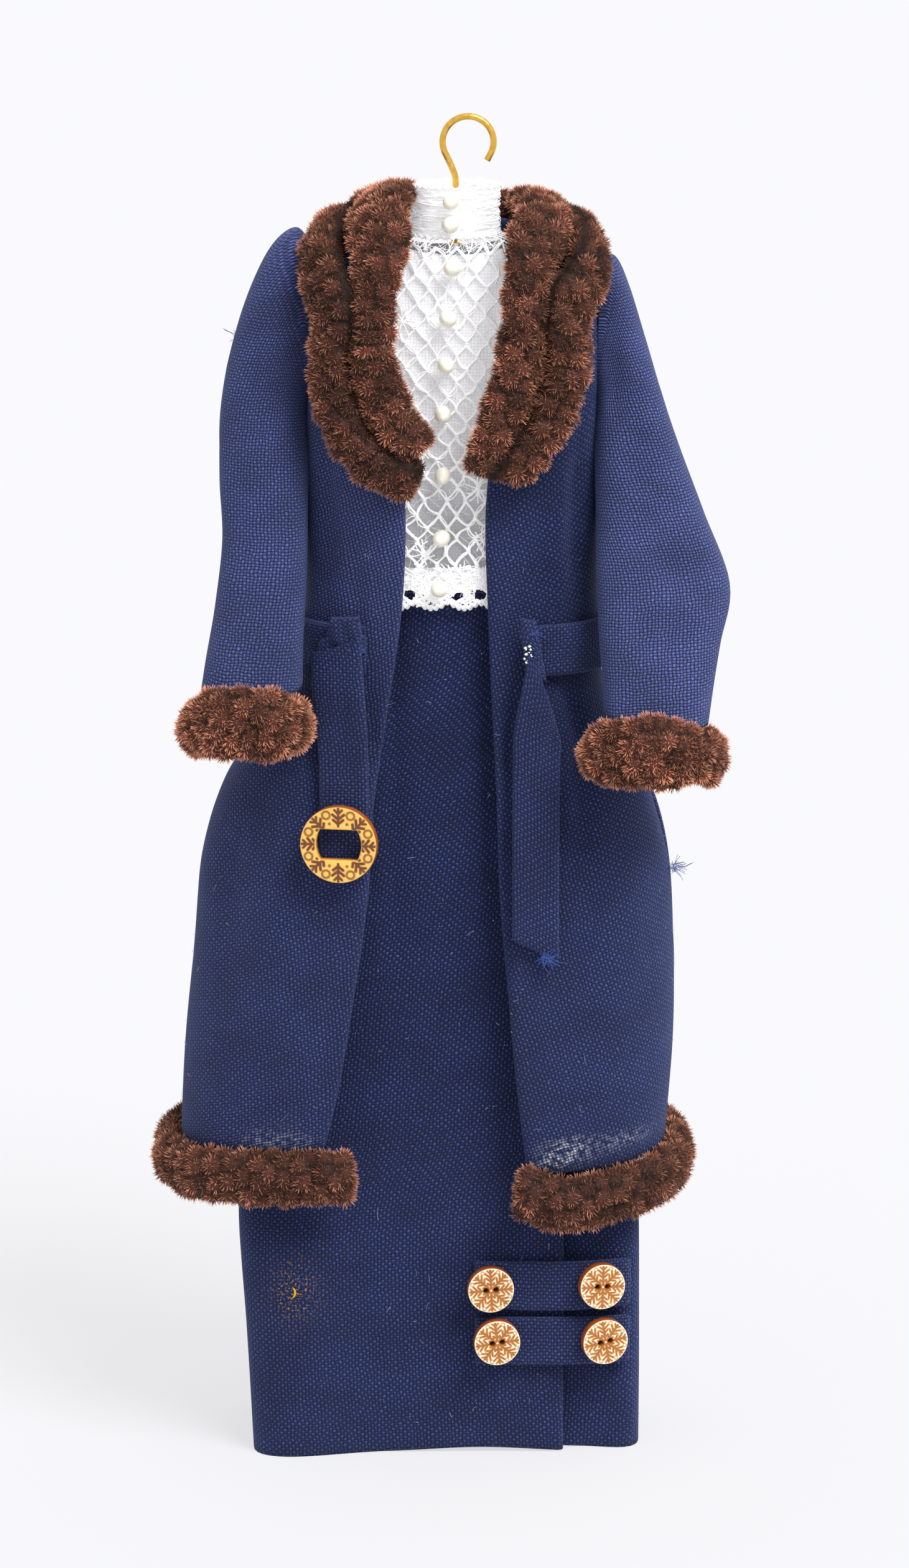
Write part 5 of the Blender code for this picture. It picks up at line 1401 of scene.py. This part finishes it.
def lintChains():
    draw = np.random.default_rng(77)
    chains = []
    out = 0.05
    for form, lowZ, highZ, count in ((skirtForm, 1.0, 30.0, 170), (coatForm, 33.0, 100.0, 420)):
        for _ in range(count):
            level = levelAt(form, draw.uniform(lowZ, highZ))
            turn = draw.uniform(-0.5, 0.5)
            t = np.linspace(0, 1, 5)
            way, length = draw.uniform(0, 2 * math.pi), 0.1 + 0.9 * draw.uniform(0, 1) ** 7
            curl = draw.normal(0, 0.6)
            du = (t * math.cos(way) - curl * t * t * math.sin(way)) * length / 110.0
            dz = (t * math.sin(way) + curl * t * t * math.cos(way)) * length
            rise = level + dz / 9.0
            line = formSpot(form, rise, turn + du, out + 0.05 * np.sin(math.pi * t))
            chains.append((line, draw.uniform(0.01, 0.018)))
    return chains


finishPiece(threadPiece("lintSpecks", lintChains(), paleFibre, 3), None, "white_lining")


def coatY(x, z, out):
    return float(spotAt(coatForm, x, np.array([z]), out)[0, 1])


tuftDraw = np.random.default_rng(5)
tuftChains = []
for tuftX, tuftY, tuftZ, tuftCount, tuftReach in (
    (20.6, -1.5, 56.0, 40, 0.9), (8.4, -11.6, 49.7, 60, 0.7), (-20.0, -2.0, 106.6, 20, 0.6),
    (-8.9, coatY(-8.9, 78.6, 2.3), 78.6, 50, 0.55), (7.3, coatY(7.3, 80.0, 2.3), 80.0, 24, 0.45),
):
    for _ in range(tuftCount):
        aim = tuftDraw.normal(0, 0.5, 3) * (1.0, 0.4, 0.8) + (math.copysign(0.5, tuftX), -0.2, 0.0)
        turnSteps = tuftDraw.normal(0, 0.7, (9, 3)).cumsum(axis=0) * (1.0, 0.4, 1.0)
        steps = aim + turnSteps * 0.35
        start = np.array([tuftX, tuftY, tuftZ]) + tuftDraw.normal(0, 0.25, 3)
        tuftChains.append((start + tuftReach / 9 * steps.cumsum(axis=0), 0.022))
finishPiece(threadPiece("looseThreads", tuftChains, blueFibre, 4), None, "navy_cloth")

chipX = np.array([-15.45, -15.2, -15.1, -15.15, -15.35])
chipZ = np.array([15.75, 15.95, 16.3, 16.6, 16.85])
chipLine = spotAt(skirtForm, chipX, chipZ, 0.08)
chipLine[:, 1] -= 1.9 * (1 - ease(chipZ, 8.0, 36.0)) * ease(-chipX, 6.0, 17.5)
goldChip = threadPiece("goldPaintChip", [(chipLine, [0.02, 0.1, 0.16, 0.1, 0.02])], goldPaint, 6)
finishPiece(goldChip, None, "navy_cloth")

glueDraw = np.random.default_rng(8)
glueChains = []
for _ in range(14):
    glueX, glueZ = 6.35 + glueDraw.normal(0, 0.16), 78.3 + glueDraw.normal(0, 0.42)
    glueLine = spotAt(coatForm, glueX, np.array([glueZ - 0.12, glueZ, glueZ + 0.12]), 2.55)
    glueChains.append((glueLine, np.array([0.05, 0.17, 0.05]) * glueDraw.uniform(0.6, 1.3)))
finishPiece(threadPiece("driedGlueBlob", glueChains, driedGlue, 8), None, "white_lining")

print("stage 13: floor, lights and camera")
floorLook = {"colour": "#737376", "glow": 0.68, "half": 6.0}  # a lit table, so shadows stay faint
floorMesh = bpy.data.meshes.new("floor")
floorMesh.from_pydata([(x * floorLook["half"], y * floorLook["half"], 0)
                       for x, y in ((-1, -1), (1, -1), (1, 1), (-1, 1))], [], [(0, 1, 2, 3)])
floorMaterial, floorTree, floorShader = newMaterial("paleMattFloor")
plug(floorTree, floorShader, {
    "Base Color": hexColour(floorLook["colour"]), "Roughness": 0.9, "Specular IOR Level": 0.0,
    "Emission Color": hexColour("#fdfdff"), "Emission Strength": floorLook["glow"],
})
floorMesh.materials.append(floorMaterial)
newObject("floor", floorMesh)

lightLook = {"sky": 0.96, "sunFrom": (0.42, -0.5, 0.8), "sun": 2.9, "softness": 28.0}
world = bpy.data.worlds.new("studioSky")
world.use_nodes = True
plug(world.node_tree, world.node_tree.nodes["Background"],
     {"Color": (1.0, 1.0, 1.0, 1.0), "Strength": lightLook["sky"]})
bpy.context.scene.world = world
softbox = bpy.data.lights.new("softbox", "SUN")
softbox.energy = lightLook["sun"]
softbox.angle = math.radians(lightLook["softness"])
newObject("softbox", softbox).rotation_euler = Vector(lightLook["sunFrom"]).to_track_quat("Z", "Y").to_euler()
bpy.context.scene.view_settings.view_transform = "Standard"

cameraLook = {"distance": 550.0, "elevation": 13.0, "targetZ": 63.7, "lens": 133.6}
lens = bpy.data.cameras.new("photoCamera")
lens.lens, lens.sensor_width = cameraLook["lens"], 36.0
lens.clip_start, lens.clip_end = 0.01, 50.0
camera = newObject("photoCamera", lens)
lift = math.radians(cameraLook["elevation"])
target = Vector((setShift[0], setShift[1], cameraLook["targetZ"])) * mm
back = Vector((0.0, -math.cos(lift), math.sin(lift)))
camera.location = target + back * cameraLook["distance"] * mm
camera.rotation_euler = (-back).to_track_quat("-Z", "Y").to_euler()
bpy.context.scene.camera = camera
